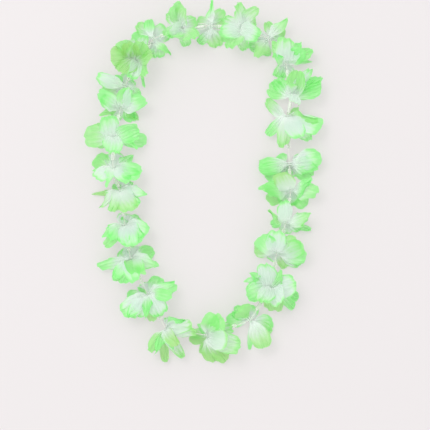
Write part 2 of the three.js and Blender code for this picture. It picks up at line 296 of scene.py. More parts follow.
# Every flower in its order on the thread. Its petals are given by their tip across and up from the
# flower's middle, their width, their white share, their tone and their form.
LAYOUT = (
    flower(-78, 132, Lies.OVER,
           lobe(3, 32, 13, 0.7, 0.1, Form.POINT), lobe(15, 32, 15, 0.6, 0.1),
           lobe(2, -33, 4, 0.2, 0, Form.STRIP), lobe(5, -17, 10, 0.05, 0.4), lobe(-8, -23, 14, 0.65),
           lobe(-19, -17, 21, 0.15, 0.8), lobe(-26, 1, 26, 0.2, 0.8), lobe(-15, 19, 24, 0.1, 0.4),
           lobe(-5, 18, 19, 0.15, 0.95), lobe(19, 9, 15, 0.1, 0.7), lobe(10, 19, 21, 0.15, 0.6)),
    flower(-91.5, 104, Lies.UNDER,
           lobe(-2, -19, 16, 0.3, 0.5), lobe(3, 19, 16, 0.5), lobe(-22, -12, 20, 0.45, 0.3),
           lobe(11, -14, 16, 0.4), lobe(-27, 7, 23, 0.85), lobe(8, 8, 9, 0.6), lobe(-9, 11, 15, 0.1)),
    flower(-96, 80, Lies.UNDER,
           lobe(-8, -16, 14, 0.4), lobe(-1, 14, 20, 0.5, 0.3), lobe(-25, -12, 12, 0.1, 0.4, Form.POINT),
           lobe(18, -15, 15, 0.1, 0.5, Form.POINT), lobe(5, 17, 14, 0.05, 0.2), lobe(24, 7, 24, 0.5),
           lobe(12, 17, 14, 0.65), lobe(8, -17, 16, 0.05), lobe(-17, -2, 14, 0.95),
           lobe(-23, 12, 13, 0.3, 0, Form.STRIP)),
    flower(-105, 46.5, Lies.OVER,
           lobe(-15, -13, 16, 0.3, 0.3), lobe(-18, 14, 15, 0.25, 0.4), lobe(34, -4, 24, 0.4),
           lobe(-1, -23, 24, 0.3), lobe(-28, -2, 27, 0.35, 0.35), lobe(27, -15, 9, 0.35, 0, Form.FOLD),
           lobe(27, 12, 19, 0.15), lobe(-3, 25, 21, 0.4)),
    flower(-105, 11.5, Lies.OVER,
           lobe(-2, 20, 24, 0.85), lobe(-22, -3, 8, 0.7, 0, Form.POINT), lobe(-19, 14, 22, 0.3, 0.2),
           lobe(14, -11, 14, 0.6), lobe(-5, -22, 10, 0.1, 0, Form.POINT), lobe(-13, -7, 14, 0.9),
           lobe(28, -11, 13, 0.3), lobe(29, 1, 14, 0.4), lobe(19, 17, 16, 0.4, 0, Form.POINT)),
    flower(-97, -15, Lies.OVER,
           lobe(5, 15, 23, 0.75), lobe(-9, 10, 14, 0.1, 0, Form.POINT),
           lobe(-31, -2, 8, 0, 0.9, Form.POINT),
           lobe(-20, -15, 15, 0.6, 0.4, Form.POINT), lobe(30, -5, 13, 0.5, 0, Form.POINT),
           lobe(18, -10, 16, 0.8), lobe(11, 11, 8, 0.8, 0, Form.POINT), lobe(14, -25, 25, 0.4, 0.6),
           lobe(-8, -23, 17, 0.3, 0.5)),
    flower(-91.5, -54, Lies.OVER,
           lobe(3, 15, 24, 0.8), lobe(-5, 13, 10, 0.1, 0, Form.POINT), lobe(14, 9, 17, 0.7),
           lobe(-16, -28, 11, 0.1, 0.2),
           lobe(-22, -14, 14, 0.2, 0, Form.POINT), lobe(22, -4, 24, 0.6), lobe(0, -21, 12, 0.4),
           lobe(21, -14, 22, 0.45), lobe(8, -24, 24, 0.4), lobe(-15, -9, 18, 0.3, 0, Form.FOLD)),
    flower(-85, -92.5, Lies.OVER,
           lobe(2, 17, 26, 0.8), lobe(-13, 12, 16, 0.5), lobe(22, 11, 20, 0.4, 0.1),
           lobe(-33, -6, 11, 0.55, 0, Form.STRIP),
           lobe(31, -10, 19, 0.4, 0.1, Form.POINT), lobe(16, -17, 14, 0.3, 0.3, Form.POINT),
           lobe(-24, 4, 9, 0.6, 0, Form.POINT), lobe(-10, -28, 25, 0.35), lobe(7, -24, 15, 0.4),
           lobe(-17, -19, 11, 0.4), lobe(3, -9, 19, 0, 0.2)),
    flower(-65.5, -132, Lies.OVER,
           lobe(-4, 16, 22, 0.85), lobe(-23, 3, 12, 0.4), lobe(10, -32, 14, 0, 0.9),
           lobe(21, -2, 11, 0.3, 0.1),
           lobe(9, 20, 20, 0.35), lobe(26, 14, 19, 0.5), lobe(-12, 12, 8, 0, 0.2, Form.POINT),
           lobe(17, -27, 24, 0.7), lobe(-14, -28, 20, 0.65), lobe(-1, -33, 9, 0.1, 0, Form.POINT),
           lobe(-28, -17, 26, 0.65)),
    flower(-45, -170.5, Lies.OVER,
           lobe(4, -35, 11, 0.1, 0.8), lobe(25, -31, 13, 0.55, 0.4, Form.STRIP),
           lobe(24, -7, 18, 0.7, 0.7), lobe(16, -13, 13, 0.2, 1), lobe(13, 12, 11, 0.1),
           lobe(-9, -26, 8, 0.1, 0, Form.POINT), lobe(13, -26, 8, 0.3, 0, Form.POINT),
           lobe(37, -4, 12, 0.7, 0.6, Form.STRIP), lobe(31, 4, 12, 0.7, 0.5, Form.STRIP),
           lobe(-3, 10, 8, 0.95), lobe(-17, -20, 15, 0.15, 0.5)),
    flower(2.5, -177.5, Lies.OVER,
           lobe(-24, -7, 15, 0, 0.7), lobe(30, 7, 16, 0.4, 0.2), lobe(8, -27, 26, 0.35, 0.7),
           lobe(24, -23, 20, 0.4, 0.8),
           lobe(-7, -19, 14, 0.3, 0.7), lobe(27, 2, 8, 0.1, 0.2, Form.POINT),
           lobe(40, -11, 23, 0.5, 0.3), lobe(18, 17, 18, 0.15, 0.3), lobe(-22, -2, 13, 0.3, 0.5),
           lobe(4, 22, 19, 0.25, 0.2), lobe(-14, 8, 16, 0.2, 0, Form.FOLD), lobe(21, -3, 26, 0.8, 0.4)),
    flower(49.5, -160.5, Lies.UNDER,
           lobe(7, 17, 15, 0.5), lobe(2, -16, 6, 0, 0.3, Form.POINT),
           lobe(-4, -34, 7, 0.4, 0, Form.STRIP), lobe(-27, -5, 19, 0.3), lobe(-18, 7, 18, 0.3),
           lobe(23, -11, 18, 0.5, 0.4), lobe(13, -28, 26, 0.55, 0.65),
           lobe(26, 2, 21, 0.4), lobe(-6, 14, 18, 0.1, 0.4)),
    flower(73.5, -123, Lies.OVER,
           lobe(-3, -29, 24, 0.1, 0.7), lobe(22, -24, 14, 0.3), lobe(28, -11, 14, 0.5),
           lobe(-20, 17, 15, 0.3, 0, Form.POINT), lobe(-28, 7, 15, 0.6, 0, Form.POINT),
           lobe(-27, -13, 24, 0.3), lobe(13, 25, 11, 0, 0.2, Form.FOLD), lobe(-6, 30, 20, 0.65),
           lobe(27, 7, 28, 0.7), lobe(-9, -20, 18, 0.5, 0.2), lobe(10, -18, 20, 0.85)),
    flower(80, -83.5, Lies.OVER,
           lobe(11, -19, 16, 0.35, 0.7), lobe(-8, -11, 14, 0.8), lobe(-22, 1, 19, 0.5, 0.5),
           lobe(23, -16, 17, 0.75), lobe(29, -4, 20, 0.45), lobe(22, 17, 24, 0.3, 0.5),
           lobe(26, 6, 22, 0.5, 0.2), lobe(-18, 14, 22, 0.35), lobe(2, 26, 25, 0.5)),
    flower(90.5, -49.5, Lies.OVER,
           lobe(-2, -15, 16, 0.5), lobe(25, -9, 8, 0.4, 0, Form.STRIP),
           lobe(23, 5, 13, 0.2, 0, Form.POINT), lobe(27, 12, 15, 0.3, 0.3, Form.POINT),
           lobe(-16, 1, 9, 0.2, 0.4), lobe(12, -10, 13, 0.7), lobe(-13, -6, 12, 0.3),
           lobe(-5, 24, 18, 0.7)),
    flower(96, -13.5, Lies.OVER,
           lobe(2, -20, 17, 0.4, 0.3), lobe(-24, -15, 19, 0.3, 0.4), lobe(15, -21, 20, 0.2, 0.1),
           lobe(-9, 16, 20, 0.5, 0.9), lobe(23, -9, 26, 0.4, 0.15),
           lobe(15, 2, 18, 0.5), lobe(-3, -19, 24, 0.5, 0.1),
           lobe(-36, 1, 24, 0.4, 0.1, Form.POINT), lobe(-25, -7, 26, 0.3, 0.15)),
    flower(94, 16, Lies.UNDER,
           lobe(7, -17, 19, 0.7), lobe(-12, -19, 20, 0.6), lobe(-30, 3, 10, 0.1, 0.5),
           lobe(-23, -18, 24, 0.45), lobe(-30, -8, 24, 0.3), lobe(31, 8, 29, 0.65),
           lobe(22, -18, 22, 0.4), lobe(30, -9, 22, 0.25, 0, Form.POINT), lobe(11, 9, 14, 0.9),
           lobe(-10, 10, 20, 0.35), lobe(-4, -17, 24, 0.3, 0.1)),
    flower(92.5, 69, Lies.UNDER,
           lobe(-14, 11, 4, 0.1, 0, Form.POINT), lobe(-19, -24, 13, 0.35), lobe(20, -31, 18, 0.65),
           lobe(-6, -40, 15, 0.4, 0.5), lobe(-21, 22, 13, 0.5, 0.3, Form.STRIP),
           lobe(10, 14, 14, 0.15, 0.4, Form.FOLD), lobe(13, -24, 24, 0.6), lobe(36, -11, 30, 0.65),
           lobe(29, 6, 19, 0.1, 0.35)),
    flower(97, 95, Lies.OVER,
           lobe(-14, 20, 17, 0.3), lobe(18, -2, 15, 0.3), lobe(-23, 11, 26, 0.2, 0.1),
           lobe(29, 22, 8, 0, 0, Form.STRIP), lobe(29, 11, 26, 0.15),
           lobe(1, -15, 13, 0.95), lobe(-3, 11, 10, 0.3, 0.3, Form.FOLD),
           lobe(22, 32, 10, 0.6, 0, Form.STRIP),
           lobe(5, 28, 19, 0.1, 0.4)),
    flower(89.5, 131, Lies.OVER,
           lobe(7, -19, 19, 0.5), lobe(-7, -17, 14, 0.3), lobe(30, -2, 9, 0.5, 0, Form.POINT),
           lobe(16, 4, 18, 0.4), lobe(28, 9, 14, 0.2, 0.15), lobe(-17, 29, 15, 0.3, 0.4, Form.POINT),
           lobe(-10, 3, 6, 0.2, 0, Form.POINT), lobe(-4, 28, 20, 0.5, 0.2),
           lobe(17, 26, 19, 0.35, 0, Form.POINT)),
    flower(70.5, 157.5, Lies.UNDER),
    flower(39, 169, Lies.OVER),
    flower(5.5, 172.5, Lies.UNDER),
    flower(-27.5, 169, Lies.OVER),
    flower(-59, 157.5, Lies.UNDER),
)


def all_sites() -> tuple[Site, ...]:
    """Completes the layout.

    Returns:
        Every flower, with a height and a seed for each of its petals.
    """
    spread, sites = EvenSpread(), []
    for index, site in enumerate(LAYOUT):
        tips = site.tips or spread.tips(index)
        placed = tuple(
            replace(tip, deck=place / (len(tips) - 1), seed=index * FLOWER_SEEDS + place * PETAL_SEEDS)
            for place, tip in enumerate(tips)
        )
        sites.append(replace(site, tips=placed))
    return tuple(sites)


# ---- The strand and the clearances that the petals keep ----


@dataclass(frozen=True)
class Shingle:
    """The sloping plane between a flower and a neighbour. hand is 1 where the flower lies on top."""

    point: np.ndarray
    normal: np.ndarray
    hand: int


@dataclass
class Strand:
    """The closed line of the thread, through the middle of every flower.

    Args:
        sites: the flowers in their order on the thread.
        tilt: the slope of the planes between neighbours, in degrees.
        gap: how far a petal stays from such a plane.
        softness: over what distance that takes effect.
        layer_spread: how much further the lowest and the highest petal of a flower are apart.
        floor_gap: how far a petal stays from what the lei lies on.
        floor_softness: over what distance that takes effect.
        floor_press: how far a petal settles under its own weight.
        ridge_height: how far above or below the thread a petal crosses a tube.
        ridge_width: how broad that room is beside the tube.
        ridge_start: how far from the flower's middle it begins.
        ridge_steepness: how quickly it shrinks before that.
        ridge_softness: over what distance it takes effect.
        shift: from the layout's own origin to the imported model's.
    """

    sites: tuple[Site, ...]
    tilt: float = 60.0
    gap: float = 0.75 * MM
    softness: float = 1.6 * MM
    layer_spread: float = 1.2 * MM
    floor_gap: float = 0.35 * MM
    floor_softness: float = 1 * MM
    floor_press: float = 0.5 * MM
    ridge_height: float = 3.7 * MM
    ridge_width: float = 12 * MM
    ridge_start: float = 4 * MM
    ridge_steepness: float = 0.8 / MM
    ridge_softness: float = 0.7 * MM
    shift: np.ndarray = field(default_factory=lambda: np.zeros(3))

    def __post_init__(self) -> None:
        """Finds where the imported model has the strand, from the middle of its first tube."""
        low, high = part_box("tube_01")
        halfway = (self.point(0) + self.point(1)) / 2
        self.shift = np.array((low + high) / 2) - halfway

    def point(self, index: int) -> np.ndarray:
        """The middle of a flower."""
        site = self.sites[index % len(self.sites)]
        return np.array([site.x, site.y, STRAND_HEIGHT]) + self.shift

    def ahead(self, index: int, step: int = 1) -> np.ndarray:
        """The direction from a flower to its next neighbour, or to the last one for a step of -1."""
        return unit(self.point(index + step) - self.point(index))

    def through(self, index: int) -> np.ndarray:
        """The direction of the thread through a flower."""
        return unit(self.ahead(index) - self.ahead(index, -1))

    def shingle(self, index: int, step: int) -> Shingle:
        """Finds where a flower and its neighbour lean on each other.

        Args:
            index: the flower's number, from 0.
            step: 1 for the next neighbour and -1 for the last one.

        Returns:
            The sloping plane between them.
        """
        lies = self.sites[index if step > 0 else index - 1].lies
        hand = lies.value * step
        slope = math.radians(self.tilt)
        normal = -math.cos(slope) * self.ahead(index, step)
        normal[2] = hand * math.sin(slope)
        return Shingle((self.point(index) + self.point(index + step)) / 2, normal, hand)

    def keep_clear(self, index: int, points: np.ndarray, deck: float) -> np.ndarray:
        """Bends points clear of both tubes, both neighbouring flowers and the surface below.

        Args:
            index: the flower that the points belong to.
            points: one row for each point.
            deck: the height of their petal in the flower, which keeps it clear of the other petals.

        Returns:
            The points where they lie clear.
        """
        centre = self.point(index)
        clear = points.copy()
        for step in (1, -1):
            tube, plane = self.ahead(index, step), self.shingle(index, step)
            room = self.layer_spread * (deck if plane.hand > 0 else 1 - deck)
            offset = clear - centre
            along = offset @ tube
            beside = np.maximum(offset[:, 0] ** 2 + offset[:, 1] ** 2 - along**2, 0)
            early = np.maximum(self.ridge_start - along, 0)
            ridge = self.ridge_height + room - beside / self.ridge_width - self.ridge_steepness * early**2
            height = plane.hand * (clear[:, 2] - centre[2])
            clear[:, 2] = centre[2] + plane.hand * above(height, ridge, self.ridge_softness)
            distance = (clear - plane.point) @ plane.normal
            push = above(distance, self.gap + room, self.softness) - distance
            clear += np.outer(push, plane.normal)
        lowest = self.floor_gap + self.layer_spread * deck
        low = above(clear[:, 2], lowest, self.floor_softness) - self.floor_press
        clear[:, 2] = np.maximum(low, lowest)
        return clear


# ---- Shader building ----

# Where a Mix node has its two colours and its colour output
MIX_FIRST, MIX_SECOND, MIX_OUTPUT = 6, 7, 2


class Value:
    """A socket of a material's nodes. Python's operators on it add Math nodes."""

    def __init__(self, build: "NodeBuilder", socket: bpy.types.NodeSocket) -> None:
        """Wraps an output socket."""
        self.build = build
        self.socket = socket

    def _math(self, operation: str, *values: "Value | float") -> "Value":
        """A Math node on these values."""
        return self.build.node("ShaderNodeMath", dict(enumerate(values)), operation=operation)

    def __add__(self, other: "Value | float") -> "Value":
        """The sum."""
        return self._math("ADD", self, other)

    __radd__ = __add__

    def __sub__(self, other: "Value | float") -> "Value":
        """The difference."""
        return self._math("SUBTRACT", self, other)

    def __rsub__(self, other: "Value | float") -> "Value":
        """The difference, with this value taken away."""
        return self._math("SUBTRACT", other, self)

    def __mul__(self, other: "Value | float") -> "Value":
        """The product."""
        return self._math("MULTIPLY", self, other)

    __rmul__ = __mul__

    def clamped(self) -> "Value":
        """The value kept from 0 to 1."""
        return self._math("MINIMUM", self._math("MAXIMUM", self, 0.0), 1.0)


class NodeBuilder:
    """Builds one node-based material."""

    def __init__(self, name: str) -> None:
        """Starts a material without nodes.

        Args:
            name: the material's name.
        """
        self.material = bpy.data.materials.new(name)
        self.material.use_nodes = True
        self.tree = self.material.node_tree
        self.tree.nodes.clear()

    def node(self, kind: str, inputs: dict | None = None, output: str | int = 0,
             **settings: object) -> Value | None:
        """Adds a node.

        Args:
            kind: the node's type.
            inputs: a number, a colour or a Value for each socket, by name or place.
            output: the output that is handed back.
            settings: the node's settings, which are set first.

        Returns:
            That output, or None for a node without outputs.
        """
        made = self.tree.nodes.new(kind)
        for key, value in settings.items():
            setattr(made, key, value)
        for key, value in (inputs or {}).items():
            if isinstance(value, Value):
                self.tree.links.new(value.socket, made.inputs[key])
            else:
                made.inputs[key].default_value = value
        return Value(self, made.outputs[output]) if made.outputs else None

    def attribute(self, name: str, output: str = "Fac") -> Value:
        """A named attribute of the piece's mesh."""
        return self.node("ShaderNodeAttribute", output=output, attribute_name=name)

    def uv(self, name: str) -> Value:
        """A UV map of the piece's mesh."""
        return self.node("ShaderNodeUVMap", uv_map=name)

    def stretched(self, vector: Value, scale: Triple) -> Value:
        """Coordinates scaled by a Mapping node."""
        return self.node("ShaderNodeMapping", {"Vector": vector, "Scale": scale})

    def noise(self, vector: Value, scale: Triple, detail: float = 2.0) -> Value:
        """A noise around 0, from about -0.5 to 0.5, on coordinates that are scaled first."""
        inputs = {"Vector": self.stretched(vector, scale), "Scale": 1.0, "Detail": detail}
        return self.node("ShaderNodeTexNoise", inputs) - 0.5

    def step(self, value: Value, span: Range) -> Value:
        """A smooth step from 0 at the span's start to 1 at its end."""
        inputs = {"Value": value, "From Min": span[0], "From Max": span[1]}
        return self.node("ShaderNodeMapRange", inputs, interpolation_type="SMOOTHSTEP")

    def mix(self, factor: Value | float, first: Value | Colour, second: Value | Colour) -> Value:
        """A colour between two colours."""
        inputs = {0: factor, MIX_FIRST: first, MIX_SECOND: second}
        return self.node("ShaderNodeMix", inputs, MIX_OUTPUT, data_type="RGBA")

    def blend(self, factor: Value | float, first: Value, second: Value) -> Value:
        """A shader between two shaders."""
        return self.node("ShaderNodeMixShader", {0: factor, 1: first, 2: second})

    def glow(self, colour: Colour) -> Value:
        """A shader that lets soft light through."""
        return self.node("ShaderNodeBsdfTranslucent", {"Color": colour})

    def bump(self, height: Value, strength: float, distance: float) -> Value:
        """A bumped normal."""
        inputs = {"Height": height, "Strength": strength, "Distance": distance}
        return self.node("ShaderNodeBump", inputs, "Normal")

    def surface(self, inputs: dict) -> Value:
        """A Principled shader with these inputs."""
        return self.node("ShaderNodeBsdfPrincipled", inputs)

    def finish(self, shader: Value) -> bpy.types.Material:
        """Puts the shader on the material's surface and hands the material back."""
        self.node("ShaderNodeOutputMaterial", {"Surface": shader})
        return self.material


@dataclass(frozen=True)
class DyedFabric:
    """Thin stiffened white fabric, dyed green towards the rims, which lets soft light through.

    Its meshes carry "dye", how far a point is into the dyed rim, with painted shade in the hollows of its
    relief, "tone", the petal's own shade, and the two UV maps "fan", in shares of the petal, and "cloth",
    in metres.
    """

    white: Colour = (0.685, 0.82, 0.73, 1)
    # Painted light: a paler white on the petals' roots and the eye, lifting the shade in the hollow
    # middle
    root_painted_light: Colour = (0.88, 0.92, 0.89, 1)
    dull_white: Colour = (0.63, 0.76, 0.58, 1)
    green: Colour = (0.47, 0.93, 0.43, 1)
    deep: Colour = (0.21, 0.86, 0.19, 1)
    olive: Colour = (0.36, 0.66, 0.17, 1)
    shine_through_white: Colour = (0.86, 0.92, 0.88, 1)
    shine_through_green: Colour = (0.66, 0.93, 0.60, 1)
    see_through: float = 0.47
    roughness: float = 0.55
    sheen: float = 0.1
    sheen_roughness: float = 0.4

    # Where the painted light on the petal's root, which lifts the shade in the flower's hollow middle,
    # fades out along the petal, and where in the dye the two greens come in
    painted_light_span: Range = (0.12, 0.5)
    green_span: Range = (-0.05, 1.2)
    deep_span: Range = (0.85, 1.7)
    deepest: float = 0.95

    # Streaks along the petal and clouds, and how far each shifts the dye
    streaks: Triple = (420, 34, 1)
    streaks_detail: float = 3.0
    streaks_in_dye: float = 0.4
    streaks_in_deep: float = 0.6
    clouds: Triple = (70, 70, 1)
    clouds_in_dye: float = 0.5

    # The weave and the ribs of its relief
    weave: Triple = (3500, 3500, 1)
    weave_share: float = 0.25
    ribs: Triple = (34, 2, 1)
    relief_strength: float = 0.35
    relief_height: float = 0.2 * MM

    def material(self) -> bpy.types.Material:
        """Builds the fabric's nodes.

        Returns:
            The fabric as a material.
        """
        build = NodeBuilder("petal fabric")
        fan, cloth = build.uv("fan"), build.uv("cloth")
        dye, tone = build.attribute("dye"), build.attribute("tone")
        streaks = build.noise(cloth, self.streaks, self.streaks_detail)
        clouds = build.noise(cloth, self.clouds)
        along = build.node("ShaderNodeSeparateXYZ", {0: fan}, "Y")
        # Painted light on the roots: 1 on the eye and at a petal's root, fading out along the petal
        root = 1 - build.step(along, self.painted_light_span)
        soaked = dye + streaks * self.streaks_in_dye + clouds * self.clouds_in_dye
        green = build.step(soaked, self.green_span)
        deep = build.step(soaked + streaks * self.streaks_in_deep, self.deep_span)
        shade = (tone + clouds * tone).clamped()
        dyed = build.mix(shade, build.mix(deep * self.deepest, self.green, self.deep), self.olive)
        # The white, with painted light at the roots
        pale = build.mix(root, build.mix(shade, self.white, self.dull_white), self.root_painted_light)
        threads = build.stretched(cloth, self.weave)
        weave = build.node("ShaderNodeTexVoronoi", {"Vector": threads, "Scale": 1.0})
        relief = weave * self.weave_share + build.noise(fan, self.ribs)
        front = build.surface({
            "Base Color": build.mix(green, pale, dyed), "Roughness": self.roughness,
            "Normal": build.bump(relief, self.relief_strength, self.relief_height),
            "Sheen Weight": self.sheen, "Sheen Roughness": self.sheen_roughness,
        })
        glows = build.glow(self.shine_through_white), build.glow(self.shine_through_green)
        return build.finish(build.blend(self.see_through, front, build.blend(green, *glows)))


@dataclass(frozen=True)
class StrawPlastic:
    """Thin clear plastic of a drinking straw, a little yellow, with fine lines from its making.

    Its meshes carry "local", a point's place in the tube's own frame.
    """

    colour: Colour = (0.74, 0.80, 0.68, 1)
    dense: Colour = (0.95, 0.98, 0.91, 1)
    density: float = 0.36
    edge_density: float = 0.5
    edge_blend: float = 0.35
    roughness: float = 0.12
    reflection: float = 0.8

    # Lines along the tube and mist, and what each does
    lines: Triple = (520, 520, 8)
    lines_span: Range = (-0.12, 0.16)
    lines_in_density: float = 0.5
    lines_in_roughness: float = 0.1
    lines_strength: float = 0.25
    lines_height: float = 0.05 * MM
    mist: Triple = (300, 300, 60)
    mist_in_density: float = 0.1

    def material(self) -> bpy.types.Material:
        """Builds the plastic's nodes.

        Returns:
            The plastic as a material.
        """
        build = NodeBuilder("straw plastic")
        local = build.attribute("local", "Vector")
        lines, mist = build.noise(local, self.lines), build.noise(local, self.mist)
        edge = build.node("ShaderNodeLayerWeight", {"Blend": self.edge_blend}, "Facing")
        clear = lines * self.lines_in_density + self.density + mist * self.mist_in_density
        return build.finish(build.surface({
            "Base Color": build.mix(build.step(lines, self.lines_span), self.colour, self.dense),
            "Roughness": lines * self.lines_in_roughness + self.roughness,
            "Alpha": (clear + edge * self.edge_density).clamped(),
            "Normal": build.bump(lines, self.lines_strength, self.lines_height),
            "Specular IOR Level": self.reflection,
        }))


@dataclass(frozen=True)
class TwistedCotton:
    """Off-white twisted thread with fine fibres. Its mesh carries the UV map "ply"."""

    light: Colour = (0.86, 0.86, 0.80, 1)
    dark: Colour = (0.72, 0.71, 0.64, 1)
    roughness: float = 0.85
    sheen: float = 0.3
    fibres: Triple = (9, 2500, 1)
    fibres_detail: float = 3.0
    fibres_span: Range = (-0.2, 0.25)
    fibres_strength: float = 0.5
    fibres_height: float = 0.05 * MM

    def material(self) -> bpy.types.Material:
        """Builds the thread's nodes.

        Returns:
            The thread as a material.
        """
        build = NodeBuilder("thread cotton")
        fibres = build.noise(build.uv("ply"), self.fibres, self.fibres_detail)
        return build.finish(build.surface({
            "Base Color": build.mix(build.step(fibres, self.fibres_span), self.dark, self.light),
            "Roughness": self.roughness, "Sheen Weight": self.sheen,
            "Normal": build.bump(fibres, self.fibres_strength, self.fibres_height),
        }))


@dataclass(frozen=True)
class PaleFloor:
    """A plain matt studio floor, partly lit from below, as a light table is."""

    colour: Colour = (0.40, 0.375, 0.374, 1)
    glow: Colour = (1.0, 0.971, 0.963, 1)
    glow_strength: float = 0.345
    roughness: float = 0.9
    reflection: float = 0.2
    grain: Triple = (400, 400, 400)
    grain_in_roughness: float = 0.05

    def material(self) -> bpy.types.Material:
        """Builds the floor's nodes.

        Returns:
            The floor as a material.
        """
        build = NodeBuilder("pale floor")
        grain = build.noise(build.node("ShaderNodeTexCoord", output="Object"), self.grain)
        return build.finish(build.surface({
            "Base Color": self.colour, "Roughness": grain * self.grain_in_roughness + self.roughness,
            "Specular IOR Level": self.reflection,
            "Emission Color": self.glow, "Emission Strength": self.glow_strength,
        }))


# ---- Meshes ----


def new_piece(name: str, bm: bmesh.types.BMesh, material: bpy.types.Material) -> bpy.types.Object:
    """Turns a bmesh into a smooth-shaded object at the origin.

    Args:
        name: the piece's name.
        bm: its mesh, which is freed.
        material: its finish.

    Returns:
        The object, which rides on the body.
    """
    mesh = bpy.data.meshes.new(name)
    bm.to_mesh(mesh)
    bm.free()
    mesh.shade_smooth()
    mesh.materials.append(material)
    piece = bpy.data.objects.new(name, mesh)
    bpy.context.scene.collection.objects.link(piece)
    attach(piece, BODY)
    return piece


def set_uv(mesh: bpy.types.Mesh, name: str, places: np.ndarray) -> None:
    """Gives a mesh a UV map.

    Args:
        mesh: the mesh.
        name: the map's name.
        places: one place for each vertex.
    """
    corners = np.empty(len(mesh.loops), np.int32)
    mesh.loops.foreach_get("vertex_index", corners)
    layer = mesh.uv_layers.new(name=name)
    layer.data.foreach_set("uv", places[corners].astype(np.float32).ravel())


def set_values(mesh: bpy.types.Mesh, name: str, values: np.ndarray) -> None:
    """Gives a mesh an attribute.

    Args:
        mesh: the mesh.
        name: the attribute's name.
        values: one number or vector for each vertex.
    """
    kind, key = ("FLOAT", "value") if values.ndim == 1 else ("FLOAT_VECTOR", "vector")
    attribute = mesh.attributes.new(name, kind, "POINT")
    attribute.data.foreach_set(key, values.astype(np.float32).ravel())


@dataclass(frozen=True)
class Rim:
    """How a petal's rim is rounded, notched and frayed.

    Args:
        notch_depth: how deep the notch in its tip is, as a share of the length.
        notch_place: where that notch is, as a share of the half width.
        notch_width: how wide it is, as a share of the half width.
        lobe_depth: how deep the rim's soft lobes are, as a share of the length.
        lobe_count: how many of them there are.
        corner: how far the tip's corners are rounded off, as a share of the length.
        skew: how much longer one side is than the middle, as a share of the length.
        tooth_depth: how deep the rim is frayed.
        tooth_pitch: how far its frayed teeth are apart.
        point_rounding: how blunt a pointed tip is.
        start: the share of the length from which the rim takes its form.
        taper: how much narrower the tip gets, as a share of the half width.
        taper_start: the share of the length from which it does.
    """

    notch_depth: Range = (-0.02, 0.07)
    notch_place: Range = (-0.45, 0.45)
    notch_width: float = 0.17
    lobe_depth: Range = (0.005, 0.02)
    lobe_count: Range = (2.0, 3.2)
    corner: Range = (0.10, 0.24)
    skew: Range = (-0.07, 0.07)
    tooth_depth: float = 0.12 * MM
    tooth_pitch: float = 1.6 * MM
    point_rounding: float = 0.01
    start: float = 0.3
    taper: float = 0.13
    taper_start: float = 0.6


@dataclass(frozen=True)
class Creasing:
    """The creases, the ruffles and the curl of a petal.

    Args:
        count: how many creases a petal of a certain width has.
        counted_on: that width.
        least_count: the least share of them that a narrow petal has.
        bend: how far the creases bend sideways.
        bend_rate: how quickly they do along the petal.
        height: their height.
        roundness: the power that rounds their ridges off.
        fine_count: how many fine creases there are to each of them.
        fine_place: how far the fine ones are shifted.
        fine_height: the height of the fine ones.
        full_from: the share of the length from which both have their full height.
        ruffle_start: the share of the length from which the rim waves.
        ruffle_height: the height of its broad waves.
        ruffle_count: how many of them there are.
        flutter_height: the height of its short waves.
        flutter_count: how many of those there are.
        flutter_slant: how far they slant along the petal.
        curl_start: the share of the length from which the tip curls.
        curl_height: how far it curls up, or down where that is below 0.
        full_width: the width from which a petal has all of this relief.
    """

    count: Range = (3.2, 5.2)
    counted_on: float = 20 * MM
    least_count: float = 0.5
    bend: float = 0.10
    bend_rate: float = 3.0
    height: float = 1.05 * MM
    roundness: float = 0.8
    fine_count: float = 2.6
    fine_place: float = 0.3
    fine_height: float = 0.3 * MM
    full_from: float = 0.3
    ruffle_start: float = 0.5
    ruffle_height: Range = (0.5 * MM, 1.3 * MM)
    ruffle_count: Range = (1.6, 2.8)
    flutter_height: float = 0.30 * MM
    flutter_count: float = 6.5
    flutter_slant: float = 9.0
    curl_start: float = 0.62
    curl_height: Range = (-1.5 * MM, 3.2 * MM)
    full_width: float = 16 * MM


@dataclass(frozen=True)
class Dip:
    """How deep a petal was in the dye, with painted shade in the hollows of its relief.

    Args:
        start: the dye's depth where the white share ends.
        fade: the share of the petal's reach over which it gets deeper by 1.
        slant: the share of the reach by which the dye comes further in at one side.
        sides: the share of the reach by which it comes further in at both sides.
        sides_span: the shares of the length between which the sides come in.
        limits: the least and the greatest depth, before the rim and the creases.
        rim: how much deeper it is along the rim.
        rim_start: the share of the length or of the half width where the rim begins.
        rim_span: the shares of the length between which the rim comes in.
        crease_dye_and_shade: how much deeper it is in the creases, per metre of their depth: pooled dye
            and painted shade.
    """

    start: float = 0.3
    fade: Range = (0.26, 0.52)
    slant: Range = (-0.10, 0.10)
    sides: float = 0.22
    sides_span: Range = (0.3, 0.7)
    limits: Range = (-1.0, 1.6)
    rim: float = 1.3
    rim_start: float = 0.82
    rim_span: Range = (0.5, 0.8)
    crease_dye_and_shade: float = 0.3 / MM


@dataclass(frozen=True)
class Centreline:
    """The line down the middle of a petal: places and directions at even steps from its root."""

    positions: np.ndarray
    directions: np.ndarray

    def at(self, s: np.ndarray) -> tuple[np.ndarray, np.ndarray]:
        """Finds places along the line.

        Args:
            s: fractions of its length.

        Returns:
            The places there and the directions, one row for each.
        """
        steps = len(self.positions) - 1
        start = np.minimum((s * steps).astype(int), steps - 1)
        share = (s * steps - start)[:, None]
        place = self.positions[start] * (1 - share) + self.positions[start + 1] * share
        direction = self.directions[start] * (1 - share) + self.directions[start + 1] * share
        return place, unit(direction)


